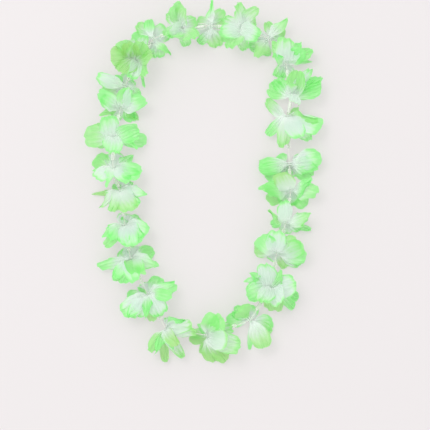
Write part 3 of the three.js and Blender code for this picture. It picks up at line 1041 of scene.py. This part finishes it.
@dataclass
class Petal:
    """One petal: a lobe of fabric that fans out from a pinched root in the flower's middle.

    Args:
        strand: the line that its flower is on.
        index: its flower's number, from 0.
        tip: how it is seen from above, with its form, its deck and its seed.
        rim: how its rim is cut.
        creasing: its relief.
        dip: its dye.
    """

    strand: Strand
    index: int
    tip: Tip
    rim: Rim = Rim()
    creasing: Creasing = Creasing()
    dip: Dip = Dip()

    # The root: its distance from the thread, the share of the length in which it turns to the tip,
    # and how the roots fan out from the lowest petal to the highest, in degrees
    root_radius: float = 3 * MM
    root_turn: float = 0.28
    root_fan: float = 50.0
    root_middle_deck: float = 0.4

    # How far the line to the tip bends sideways, in degrees, and in how many steps it is walked
    sweep: float = 24.0
    steps: int = 24

    # Which petals lie out flat: the lowest ones, and those that point along the thread and under
    # the neighbour. They drop from the thread and have a little slack
    low_deck: float = 0.3
    low_along: float = 0.35
    low_droop: float = 8 * MM
    low_slack: float = 1.03

    # The other petals rise and arch over, by an angle in degrees. They are longer and wider than they
    # look from above, because they arch and roll
    high_length: Range = (31.5 * MM, 35.7 * MM)
    high_slack: float = 1.05
    high_widest: float = 25 * MM
    high_widening: float = 1.15
    high_extra_width: float = 3 * MM
    arch: Range = (30.0, 64.0)
    reach_limit: float = 0.995

    # The cup across the petal, the waves that grow towards its rim, and how its middle fold comes in
    cup_depth: Range = (-0.175, 0.325)
    wave_height: Range = (0.6 * MM, 1.7 * MM)
    wave_count: Range = (2.4, 3.4)
    ridge_span: Range = (0.0, 1 / 3)
    ridge_rounding: float = 0.02

    segments_along: int = 38
    segments_across: int = 40

    # Worked out from all of these
    heading: float = field(init=False)
    length: float = field(init=False)
    width: float = field(init=False)
    roll: float = field(init=False)
    line: Centreline = field(init=False)
    seen: np.ndarray = field(init=False)

    def __post_init__(self) -> None:
        """Works out the petal's size, slopes and centreline."""
        tip = self.tip
        through = self.strand.through(self.index)
        reach = math.hypot(tip.across, tip.up)
        self.heading = math.atan2(tip.up, tip.across)
        forward = np.array([math.cos(self.heading), math.sin(self.heading), 0])
        along = float(forward @ through)
        hand = self.strand.shingle(self.index, 1 if along > 0 else -1).hand
        if (hand < 0 and abs(along) > self.low_along) or tip.deck < self.low_deck:
            slopes = self._low_shape(reach)
        else:
            slopes = self._high_shape(reach)
        self.line = self._centreline(slopes, through, forward, hand)
        self.seen = (self.line.positions - self.strand.point(self.index)) @ forward / reach

    def _low_shape(self, reach: float) -> Range:
        """Sizes a petal that bends down and lies out flat.

        Args:
            reach: how far its tip is from the flower's middle, seen from above.

        Returns:
            Its slopes at the root's end and at the tip, in radians.
        """
        self.length = self.low_slack * math.hypot(reach, self.low_droop)
        self.width, self.roll = self.tip.width, 0.0
        return -2 * math.atan(self.low_droop / reach), 0.0

    def _high_shape(self, reach: float) -> Range:
        """Sizes a petal that rises, arches over and rolls.

        Args:
            reach: how far its tip is from the flower's middle, seen from above.

        Returns:
            Its slopes at the root's end and at the tip, in radians.
        """
        drawn, seen = self.tip.draw, self.tip.width
        arch = math.radians(drawn(Trait.ARCH, self.arch))
        self.length = max(reach * self.high_slack, drawn(Trait.LENGTH, self.high_length))
        shorten = math.sin(arch / 2) / (arch / 2)
        climb = math.acos(min(reach / (self.length * shorten), self.reach_limit))
        widened = seen * self.high_widening + self.high_extra_width
        self.width = max(seen, min(self.high_widest, widened))
        self.roll = math.acos(seen / self.width) * (-1 if drawn(Trait.ROLL_SIDE) < 0.5 else 1)
        return climb + arch / 2, climb - arch / 2

    def _centreline(self, slopes: Range, through: np.ndarray, forward: np.ndarray,
                    hand: int) -> Centreline:
        """Walks along the petal from its root.

        Args:
            slopes: its slopes at the root's end and at the tip, in radians.
            through: the direction of the thread.
            forward: the level direction to its tip.
            hand: whether it leaves its root upwards, 1, or downwards, -1.

        Returns:
            The line down its middle.
        """
        sideways = np.cross([0, 0, 1], through)
        level = float(forward @ sideways)
        fan = math.radians((self.tip.deck - self.root_middle_deck) * self.root_fan)
        turn = hand * math.acos(min(abs(level), 1)) + fan
        root = sideways * math.copysign(math.cos(turn), level)
        root[2] = math.sin(turn)
        sweep = math.radians(self.sweep * (self.tip.draw(Trait.SWEEP) - 0.5))
        positions = [self.strand.point(self.index) + root * self.root_radius]
        directions = [root]
        for i in range(self.steps):
            s = (i + 0.5) / self.steps
            slope = slopes[0] + (slopes[1] - slopes[0]) * s
            heading = self.heading + sweep * (s - 0.5)
            level_step = np.array([math.cos(heading), math.sin(heading), 0])
            onward = level_step * math.cos(slope) + np.array([0, 0, math.sin(slope)])
            share = rise(s, 0, self.root_turn)
            direction = unit(root * (1 - share) + onward * share)
            positions.append(positions[-1] + direction * self.length / self.steps)
            directions.append(direction)
        return Centreline(np.array(positions), np.array(directions))

    def half_width(self, s: np.ndarray) -> np.ndarray:
        """Widens the petal from a narrow root to a broad tip.

        Args:
            s: fractions of its length.

        Returns:
            Half its width there.
        """
        cut = self.tip.form.value
        grown = np.clip(s / cut.full_width_at, 0, 1)
        share = cut.root_width + (1 - cut.root_width) * np.sin(math.pi / 2 * grown)
        return self.width / 2 * share

    def outline(self, a: np.ndarray, b: np.ndarray) -> tuple[np.ndarray, np.ndarray]:
        """Rounds, notches and frays the rim of the plain strip.

        Args:
            a: places along the strip, from 0 at the root to 1.
            b: places across it, from -1 to 1.

        Returns:
            The fractions of the length and of the half width where they lie on the cut petal.
        """
        drawn, rim = self.tip.draw, self.rim
        off_notch = (b - drawn(Trait.NOTCH_PLACE, rim.notch_place)) / rim.notch_width
        lobes = math.pi * drawn(Trait.LOBE_COUNT, rim.lobe_count) * b + drawn(Trait.LOBE_TURN, FULL_TURN)
        teeth = math.pi * self.width / rim.tooth_pitch * b
        edge = 1 - drawn(Trait.CORNER, rim.corner) * np.abs(b) ** 3
        edge = edge - drawn(Trait.NOTCH_DEPTH, rim.notch_depth) * np.exp(-(off_notch**2))
        edge = edge + drawn(Trait.SKEW, rim.skew) * b
        edge = edge - self.tip.form.value.point * np.sqrt(b**2 + rim.point_rounding)
        edge = edge + drawn(Trait.LOBE_DEPTH, rim.lobe_depth) * np.cos(lobes)
        edge = edge + rim.tooth_depth / self.length * np.sin(teeth)
        s = a * (1 + (edge - 1) * rise(a, rim.start, 1))
        w = b * (1 - rim.taper * rise(a, rim.taper_start, 1))
        return np.clip(s, 0, 1), w

    def relief(self, a: np.ndarray, b: np.ndarray) -> np.ndarray:
        """Creases, ruffles and curls the fabric.

        Args:
            a: places along the strip, from 0 at the root to 1.
            b: places across it, from -1 to 1.

        Returns:
            How far the fabric is lifted off its plain surface there.
        """
        drawn, make = self.tip.draw, self.creasing
        sized = max(self.width / make.counted_on, make.least_count)
        bend = make.bend * np.sin(make.bend_rate * a + drawn(Trait.CREASE_BEND, FULL_TURN))
        fold = drawn(Trait.CREASE_COUNT, make.count) * sized * (b + bend * a) / 2
        fold = fold + drawn(Trait.CREASE_PLACE)
        creases = make.height * (zigzag(fold) ** make.roundness - 0.5)
        fine = make.fine_height * (zigzag(make.fine_count * fold + make.fine_place) - 0.5)
        ruffles = math.pi * drawn(Trait.RUFFLE_COUNT, make.ruffle_count) * b
        ruffle = drawn(Trait.RUFFLE_HEIGHT, make.ruffle_height) * np.sin(
            ruffles + drawn(Trait.RUFFLE_TURN, FULL_TURN))
        flutters = math.pi * make.flutter_count * b + make.flutter_slant * a
        flutter = make.flutter_height * np.sin(flutters + drawn(Trait.FLUTTER_TURN, FULL_TURN))
        curled = np.maximum((a - make.curl_start) / (1 - make.curl_start), 0) ** 2
        lift = rise(a, 0, make.full_from) * (creases + fine)
        lift = lift + rise(a, make.ruffle_start, 1) * (ruffle + flutter)
        lift = lift + drawn(Trait.CURL, make.curl_height) * curled
        return lift * min(self.width / make.full_width, 1)

    def surface(self, s: np.ndarray, w: np.ndarray, lift: np.ndarray) -> np.ndarray:
        """Places on the petal.

        Args:
            s: fractions of its length.
            w: fractions of its half width.
            lift: how far the fabric is lifted there.

        Returns:
            One row for each place, clear of everything beside the petal.
        """
        drawn, half = self.tip.draw, self.half_width(s)
        place, direction = self.line.at(s)
        side = np.array([-math.sin(self.heading), math.cos(self.heading), 0])
        side = unit(side - (direction @ side)[:, None] * direction)
        face = np.cross(direction, side)
        cos, sin = np.cos(self.roll * s)[:, None], np.sin(self.roll * s)[:, None]
        side, face = side * cos + face * sin, face * cos - side * sin
        waves = math.pi * drawn(Trait.WAVE_COUNT, self.wave_count) * w + drawn(Trait.WAVE_TURN, FULL_TURN)
        height = drawn(Trait.CUP, self.cup_depth) * half * w**2 + lift
        height = height + drawn(Trait.WAVE_HEIGHT, self.wave_height) * s**2 * np.sin(waves)
        ridge = np.sqrt(w**2 + self.ridge_rounding) * rise(s, *self.ridge_span)
        height = height - self.tip.form.value.ridge * half * ridge
        shaped = place + side * (w * half)[:, None] + face * height[:, None]
        return self.strand.keep_clear(self.index, shaped, self.tip.deck)

    def dye(self, a: np.ndarray, b: np.ndarray, s: np.ndarray, lift: np.ndarray) -> np.ndarray:
        """How deep each place is in the dye: below 0 in the white middle and above 1 at the rim.

        Args:
            a: places along the strip, from 0 at the root to 1.
            b: places across it, from -1 to 1.
            s: the fractions of the petal's length there.
            lift: how far the fabric is lifted there. The creases are deeper in the dye: pooled dye and
                painted shade.

        Returns:
            One number for each place.
        """
        drawn, dip = self.tip.draw, self.dip
        seen = np.interp(s, np.linspace(0, 1, len(self.seen)), self.seen)
        sides = dip.sides * np.abs(b) ** 4 * rise(a, *dip.sides_span)
        dyed = seen + sides + drawn(Trait.DYE_SLANT, dip.slant) * b - self.tip.white
        depth = np.clip(dip.start + dyed / drawn(Trait.FADE, dip.fade), *dip.limits)
        rim = rise(np.maximum(a, np.abs(b)), dip.rim_start, 1) * rise(a, *dip.rim_span)
        # Deeper in the hollows of the relief: partly pooled dye, partly painted shade
        return depth + dip.rim * rim - dip.crease_dye_and_shade * lift

    def add_to(self, bm: bmesh.types.BMesh, fabric: "LayerData") -> None:
        """Adds the petal to its layer.

        Args:
            bm: the layer's mesh.
            fabric: what the layer's finish reads.
        """
        grid = bmesh.ops.create_grid(
            bm, x_segments=self.segments_across, y_segments=self.segments_along, size=1.0)["verts"]
        strip = np.array([vertex.co for vertex in grid])
        a, b = (strip[:, 1] + 1) / 2, strip[:, 0]
        s, w = self.outline(a, b)
        lift = self.relief(a, b)
        for vertex, place in zip(grid, self.surface(s, w, lift)):
            vertex.co = place
        faces = list({face for vertex in grid for face in vertex.link_faces})
        for face in faces:
            face.normal_update()
        if sum(face.normal.z for face in faces) < 0:
            bmesh.ops.reverse_faces(bm, faces=faces)
        flat = np.stack([w * self.half_width(s), s * self.length], axis=1)
        fan = np.stack([(b + 1) / 2, a], axis=1)
        fabric.add(fan, flat, self.dye(a, b, s, lift), self.tip.tone, self.tip.seed)


@dataclass
class LayerData:
    """What the finish of a layer's mesh reads, gathered while its parts are added."""

    fan: list[np.ndarray] = field(default_factory=list)
    cloth: list[np.ndarray] = field(default_factory=list)
    dye: list[np.ndarray] = field(default_factory=list)
    tone: list[np.ndarray] = field(default_factory=list)
    fan_places: int = 7

    def add(self, fan: np.ndarray, flat: np.ndarray, dye: np.ndarray, tone: float, seed: int) -> None:
        """Adds a petal or an eye, with a place of its own on the cloth.

        Args:
            fan: the shares of the part's width and length at each of its points.
            flat: where each point is on the flat fabric.
            dye: how deep each point is in the dye.
            tone: the part's shade.
            seed: the number that its place on the cloth is drawn from.
        """
        corner = np.array([draw(seed + Trait.CLOTH_ACROSS), draw(seed + Trait.CLOTH_ALONG)])
        self.fan.append(fan + np.array([seed % self.fan_places, 0]))
        self.cloth.append(flat + corner)
        self.dye.append(dye)
        self.tone.append(np.full(len(flat), tone))

    def give(self, mesh: bpy.types.Mesh) -> None:
        """Hands everything over.

        Args:
            mesh: the layer's finished mesh.
        """
        set_uv(mesh, "fan", np.concatenate(self.fan))
        set_uv(mesh, "cloth", np.concatenate(self.cloth))
        set_values(mesh, "dye", np.concatenate(self.dye))
        set_values(mesh, "tone", np.concatenate(self.tone))


@dataclass
class Bloom:
    """One flower: two layers of fabric, each pinched to a pleated eye on the thread.

    Args:
        strand: the line that it is on.
        index: its number, from 0.
        finish: its fabric.
    """

    strand: Strand
    index: int
    finish: bpy.types.Material

    # The pleated eye: its cone, its pleats, its share of the fan map, which keeps it in the painted light
    # of the roots, its place in the dye, its steps
    eye_hole: float = 0.75 * MM
    eye_radius: float = 4.4 * MM
    eye_gap: float = 0.5 * MM
    eye_depth: float = 1.1 * MM
    eye_pleats: int = 9
    eye_pleat_height: float = 0.45 * MM
    eye_fan: float = 0.12
    eye_dye: float = -0.5
    eye_rings: int = 6
    eye_steps: int = 54

    # The least share of its flat rectangle that a layer is taken to fill, in the logged area
    least_cloth: float = 0.3

    def build(self) -> None:
        """Builds and dresses both layers, and logs the sheet that each was cut from."""
        number = f"{self.index + 1:02d}"
        petals = [Petal(self.strand, self.index, tip) for tip in self.strand.sites[self.index].tips]
        half = len(petals) // 2
        for layer, members in ((Layer.LOWER, petals[:half]), (Layer.UPPER, petals[half:])):
            name = f"bloom_{number}_{layer.value}"
            bm, fabric = bmesh.new(), LayerData()
            self._add_eye(bm, fabric, layer)
            for petal in members:
                petal.add_to(bm, fabric)
            piece = new_piece(name, bm, self.finish)
            fabric.give(piece.data)
            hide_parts(f"flower_{number}")
            self._declare(piece, members)
            log.info("%s: %d petals, %d faces", name, len(members), len(piece.data.polygons))

    def _declare(self, piece: bpy.types.Object, petals: list[Petal]) -> None:
        """Works out the sheet that a layer was cut from, with its petals evenly round its middle, and
        logs it.

        Args:
            piece: the layer.
            petals: its petals.
        """
        turns = 2 * math.pi * np.arange(len(petals)) / len(petals)
        reaches = np.array([petal.root_radius + petal.length for petal in petals])
        width = float(np.ptp(np.append(reaches * np.cos(turns), 0)))
        length = float(np.ptp(np.append(reaches * np.sin(turns), 0)))
        cloth = sum(face.area for face in piece.data.polygons)
        area = min(max(cloth, self.least_cloth * width * length), width * length)
        log.info("%s: cut from %.0f x %.0f mm, cloth %.0f mm2, declared %.0f mm2", piece.name,
                 width / MM, length / MM, cloth / MM**2, area / MM**2)

    def _add_eye(self, bm: bmesh.types.BMesh, fabric: LayerData, layer: Layer) -> None:
        """Adds the pleated middle of a layer: a shallow cone round the thread.

        Args:
            bm: the layer's mesh.
            fabric: what the layer's finish reads.
            layer: the layer, which tells the way that the cone opens.
        """
        first = len(bm.verts)
        ring = bmesh.ops.create_circle(bm, segments=self.eye_steps, radius=self.eye_hole)["verts"]
        for place in range(1, self.eye_rings + 1):
            inside = set(ring)
            edges = {edge for vertex in ring for edge in vertex.link_edges if set(edge.verts) <= inside}
            made = bmesh.ops.extrude_edge_only(bm, edges=list(edges))["geom"]
            ring = [part for part in made if isinstance(part, bmesh.types.BMVert)]
            wider = (self.eye_radius - self.eye_hole) / self.eye_rings * place + self.eye_hole
            for vertex in ring:
                vertex.co = vertex.co.normalized() * wider
        bm.verts.ensure_lookup_table()
        eye = bm.verts[first:]
        flat = np.array([vertex.co.xy for vertex in eye])
        turn, radius = np.arctan2(flat[:, 1], flat[:, 0]), np.linalg.norm(flat, axis=1)
        share = (radius - self.eye_hole) / (self.eye_radius - self.eye_hole)
        hand = 1 if layer is Layer.UPPER else -1
        lift = hand * (self.eye_gap + self.eye_depth * share**2)
        lift = lift + self.eye_pleat_height * share * np.sin(self.eye_pleats * turn)
        through = self.strand.through(self.index)
        sideways = np.cross([0, 0, 1], through)
        across = np.outer(flat[:, 0], sideways) + np.outer(flat[:, 1], [0, 0, 1])
        places = self.strand.point(self.index) + across + np.outer(lift, through)
        for vertex, place in zip(eye, places):
            vertex.co = place
        fan = flat / self.eye_radius * self.eye_fan
        fabric.add(fan, flat, np.full(len(flat), self.eye_dye), 0.0, self.index)


@dataclass
class Spacer:
    """A short piece of clear drinking straw between a flower and the next one.

    Args:
        strand: the line that it is on.
        index: the number of the flower before it, from 0.
        finish: its plastic.
    """

    strand: Strand
    index: int
    finish: bpy.types.Material
    length: float = 18 * MM
    radius: float = 2 * MM
    wall: float = 0.3 * MM
    steps: int = 40
    rings: int = 12

    # How slantwise it is cut and how far its ends are pinched, at most
    cut_slant: float = 0.06
    pinch: float = 0.07

    # How far apart the seeds of two tubes are, and the places where their finish starts
    seeds: int = 17
    finish_shift: float = 10 * MM

    def build(self) -> None:
        """Builds, dresses and places the tube."""
        number = f"{self.index + 1:02d}"
        bm = bmesh.new()
        self._turn_wall(bm)
        local = np.array([vertex.co for vertex in bm.verts])
        seed = self.index * self.seeds
        for vertex in bm.verts:
            oval = self.pinch * draw(seed) * (2 * vertex.co.z / self.length) ** 2
            vertex.co.x *= 1 - oval
            vertex.co.y *= 1 + oval
        slant = Matrix.Identity(4)
        slant[2][0] = self.cut_slant * (draw(seed + 1) - 0.5)
        slant[2][1] = self.cut_slant * (draw(seed + 2) - 0.5)
        middle = Vector((self.strand.point(self.index) + self.strand.point(self.index + 1)) / 2)
        aim = Vector(self.strand.ahead(self.index)).to_track_quat("Z", "Y").to_matrix().to_4x4()
        bmesh.ops.transform(bm, matrix=Matrix.Translation(middle) @ aim @ slant, verts=bm.verts)
        piece = new_piece(f"spacer_{number}", bm, self.finish)
        set_values(piece.data, "local", local + self.index * self.finish_shift)
        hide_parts(f"tube_{number}")
        log.info("%s: %d faces", piece.name, len(piece.data.polygons))

    def _turn_wall(self, bm: bmesh.types.BMesh) -> None:
        """Turns the wall's section, a slim upright rectangle, once round the tube's middle.

        Args:
            bm: the mesh that the wall is made in.
        """
        half, inner = self.length / 2, self.radius - self.wall
        corners = [bm.verts.new(place) for place in (
            (inner, 0, -half), (self.radius, 0, -half), (self.radius, 0, half), (inner, 0, half))]
        rim = [bm.edges.new((corner, corners[place - 3])) for place, corner in enumerate(corners)]
        bmesh.ops.subdivide_edges(bm, edges=rim[1::2], cuts=self.rings)
        bmesh.ops.spin(bm, geom=bm.verts[:] + bm.edges[:], cent=(0, 0, 0), axis=(0, 0, 1),
                       angle=2 * math.pi, steps=self.steps, use_merge=True)
        bmesh.ops.recalc_face_normals(bm, faces=bm.faces)


@dataclass
class Thread:
    """The thread through every flower and tube, of two plies, with its knot and two short ends.

    Args:
        strand: the line that it follows.
        finish: its cotton.
    """

    strand: Strand
    finish: bpy.types.Material

    # The two plies and their twist, and a direction that the thread nowhere runs in
    ply_radius: float = 0.27 * MM
    ply_offset: float = 0.23 * MM
    ply_sides: int = 6
    merge_distance: float = 0.001 * MM
    pitch: float = 2.4 * MM
    askew: Triple = (0.13, 0.21, 0.97)

    # The loop: its straight stretches in the flowers, the spacing of its points and its eased bends
    core_half_length: float = 1.3 * MM
    spacing: float = 0.3 * MM
    easing_reach: int = 2
    easing_passes: int = 12

    # The knot, just past one flower, and its two cut ends
    knot_flower: int = 22
    knot_distance: float = 5.2 * MM
    knot_size: float = 0.42 * MM
    knot_stretch: float = 1.3
    knot_steps: int = 90
    end_length: float = 11 * MM
    end_spread: float = 3.8 * MM
    end_steps: int = 40

    def build(self) -> None:
        """Builds and dresses the thread."""
        bm = bmesh.new()
        self._add_cord(bm, self._loop(), closed=True)
        self._add_cord(bm, self._knot(), closed=True)
        for hand in (-1, 1):
            self._add_cord(bm, self._end(hand), closed=False)
        bmesh.ops.remove_doubles(bm, verts=bm.verts, dist=self.merge_distance)
        bmesh.ops.holes_fill(bm, edges=bm.edges, sides=self.ply_sides)
        bmesh.ops.recalc_face_normals(bm, faces=bm.faces)
        piece = new_piece("thread_twisted", bm, self.finish)
        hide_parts("thread")
        log.info("%s: %d faces", piece.name, len(piece.data.polygons))

    def _knot_frame(self) -> tuple[np.ndarray, np.ndarray, np.ndarray]:
        """Finds the knot.

        Returns:
            Its middle, the thread's direction there and the level direction across it.
        """
        ahead = self.strand.ahead(self.knot_flower)
        middle = self.strand.point(self.knot_flower) + ahead * self.knot_distance
        return middle, ahead, np.cross([0, 0, 1], ahead)

    def _loop(self) -> np.ndarray:
        """Leads the thread through every flower and eases its bends.

        Returns:
            Evenly spaced points along the closed loop.
        """
        corners = []
        for index in range(len(self.strand.sites)):
            centre, core = self.strand.point(index), self.strand.through(index) * self.core_half_length
            corners += [centre - core, centre + core]
        points = resampled(np.array(corners), self.spacing)
        for _ in range(self.easing_passes):
            before, after = (np.roll(points, side * self.easing_reach, axis=0) for side in (1, -1))
            points = (before + points * 2 + after) / 4
        return points

    def _knot(self) -> np.ndarray:
        """Ties a trefoil round the thread, drawn tight.

        Returns:
            Points along the closed knot.
        """
        t = np.linspace(0, 2 * math.pi, self.knot_steps, endpoint=False)
        x = self.knot_size * (np.sin(t) + 2 * np.sin(2 * t))
        y = self.knot_size * (np.cos(t) - 2 * np.cos(2 * t))
        z = -self.knot_stretch * self.knot_size * np.sin(3 * t)
        middle, ahead, sideways = self._knot_frame()
        return middle + np.outer(z, ahead) + np.outer(x, sideways) + np.outer(y, [0, 0, 1])

    def _end(self, hand: int) -> np.ndarray:
        """Leads one cut end out beside the tube.

        Args:
            hand: the side that it bends to, 1 or -1.

        Returns:
            Points along it, from the knot.
        """
        middle, ahead, sideways = self._knot_frame()
        bend = middle + sideways * hand * self.end_spread
        tip = bend + ahead * self.end_length
        t = np.linspace(0, 1, self.end_steps)[:, None]
        return (1 - t) ** 2 * middle + 2 * t * (1 - t) * bend + t**2 * tip

    def _add_cord(self, bm: bmesh.types.BMesh, line: np.ndarray, closed: bool) -> None:
        """Adds two plies twisted round a line, which nowhere runs in the direction askew.

        Args:
            bm: the thread's mesh.
            line: the points of the line.
            closed: whether it ends where it starts.
        """
        if closed:
            tangent = unit(np.roll(line, -1, axis=0) - np.roll(line, 1, axis=0))
            lengths = np.linalg.norm(np.roll(line, -1, axis=0) - line, axis=1)
        else:
            tangent = unit(np.gradient(line, axis=0))
            lengths = np.linalg.norm(np.diff(line, axis=0, append=line[-1:]), axis=1)
        walked = np.concatenate([[0], np.cumsum(lengths)])[: len(line)]
        turns = max(round(lengths.sum() / self.pitch), 1)
        twist = 2 * math.pi * turns * walked / lengths.sum()
        first = unit(np.cross(tangent, self.askew))
        second = np.cross(tangent, first)
        for ply in (0, math.pi):
            phase = (twist + ply)[:, None]
            middle = line + self.ply_offset * (first * np.cos(phase) + second * np.sin(phase))
            add_tube(bm, middle, first, second, self.ply_radius, self.ply_sides, closed)


def resampled(points: np.ndarray, spacing: float) -> np.ndarray:
    """Spaces points evenly along a closed line.

    Args:
        points: the line's corners.
        spacing: about how far apart the new points are.

    Returns:
        The new points, one row for each.
    """
    whole = np.concatenate([points, points[:1]])
    walked = np.concatenate([[0], np.cumsum(np.linalg.norm(np.diff(whole, axis=0), axis=1))])
    places = np.linspace(0, walked[-1], round(walked[-1] / spacing), endpoint=False)
    return np.stack([np.interp(places, walked, whole[:, axis]) for axis in range(3)], axis=1)


def add_tube(bm: bmesh.types.BMesh, line: np.ndarray, first: np.ndarray, second: np.ndarray,
             radius: float, sides: int, closed: bool) -> None:
    """Adds a round tube along a line, from a strip that is wrapped round it, with its UV map.

    Args:
        bm: the mesh that it is added to. The strip's seams are left to be merged.
        line: the points of its middle.
        first: a direction across the line at each point.
        second: the other direction across it.
        radius: its radius.
        sides: its number of sides.
        closed: whether the line ends where it starts.
    """
    layer = bm.loops.layers.uv.get("ply") or bm.loops.layers.uv.new("ply")
    rows = len(line) + (1 if closed else 0)
    grid = bmesh.ops.create_grid(bm, x_segments=sides, y_segments=rows - 1, size=1.0)["verts"]
    for place, vertex in enumerate(grid):
        row, column = divmod(place, sides + 1)
        at, turn = row % len(line), 2 * math.pi * (column % sides) / sides
        vertex.co = line[at] + radius * (first[at] * math.cos(turn) + second[at] * math.sin(turn))
        for loop in vertex.link_loops:
            loop[layer].uv = column / sides, row / len(line)


# ---- Floor, lights and camera ----


@dataclass
class Studio:
    """A pale floor, soft light from above and a camera that looks straight down."""

    floor_side: float = 6.0
    key_power: float = 11.5
    key_size: float = 1.1
    key_place: Triple = (-0.75, 0.85, 1.9)
    world_colour: Colour = (0.97, 0.98, 1.0, 1)
    world_strength: float = 1.21

    def build(self, strand: Strand) -> None:
        """Builds the floor, the lights and the camera.

        Args:
            strand: the lei's line, which the camera is centred over.
        """
        self._floor()
        self._lights()
        self._camera(strand)

    def _floor(self) -> None:
        """The floor, which isn't part of the object."""
        bm = bmesh.new()
        bmesh.ops.create_grid(bm, x_segments=1, y_segments=1, size=self.floor_side / 2)
        mesh = bpy.data.meshes.new("floor")
        bm.to_mesh(mesh)
        bm.free()
        mesh.materials.append(PaleFloor().material())
        floor = bpy.data.objects.new("floor", mesh)
        bpy.context.scene.collection.objects.link(floor)

    def _lights(self) -> None:
        """One large soft lamp above the upper left, and an even pale surround."""
        lamp = bpy.data.lights.new("key", "AREA")
        lamp.shape, lamp.size, lamp.energy = "DISK", self.key_size, self.key_power
        key = bpy.data.objects.new("key", lamp)
        key.location = self.key_place
        key.rotation_euler = (-Vector(self.key_place)).to_track_quat("-Z", "Y").to_euler()
        bpy.context.scene.collection.objects.link(key)
        world = bpy.data.worlds.new("surround")
        world.use_nodes = True
        background = world.node_tree.nodes["Background"]
        background.inputs["Color"].default_value = self.world_colour
        background.inputs["Strength"].default_value = self.world_strength
        bpy.context.scene.world = world
        bpy.context.scene.view_settings.view_transform = "Standard"

    def _camera(self, strand: Strand) -> None:
        """A long lens straight above the middle of the photograph's frame.

        Args:
            strand: the lei's line, which tells where that frame is.
        """
        centre_px = PHOTO_SIDE_PX / 2
        x = (centre_px - STRAND_ORIGIN_PX[0]) * PHOTO_SCALE + strand.shift[0]
        y = (STRAND_ORIGIN_PX[1] - centre_px) * PHOTO_SCALE + strand.shift[1]
        distance = PHOTO_SIDE_PX * PHOTO_SCALE * CAMERA_LENS / CAMERA_SENSOR
        lens = bpy.data.cameras.new("camera")
        lens.lens, lens.sensor_width = CAMERA_LENS, CAMERA_SENSOR
        camera = bpy.data.objects.new("camera", lens)
        camera.location = (x, y, STRAND_HEIGHT + distance)
        bpy.context.scene.collection.objects.link(camera)
        bpy.context.scene.camera = camera


def main() -> None:
    """Builds the lei and its studio."""
    logging.basicConfig(level=logging.INFO, format="%(message)s")
    strand = Strand(all_sites())
    fabric, plastic = DyedFabric().material(), StrawPlastic().material()
    Studio().build(strand)
    for index in range(len(strand.sites)):
        Bloom(strand, index, fabric).build()
        Spacer(strand, index, plastic).build()
    Thread(strand, TwistedCotton().material()).build()


if __name__ == "__main__":
    main()
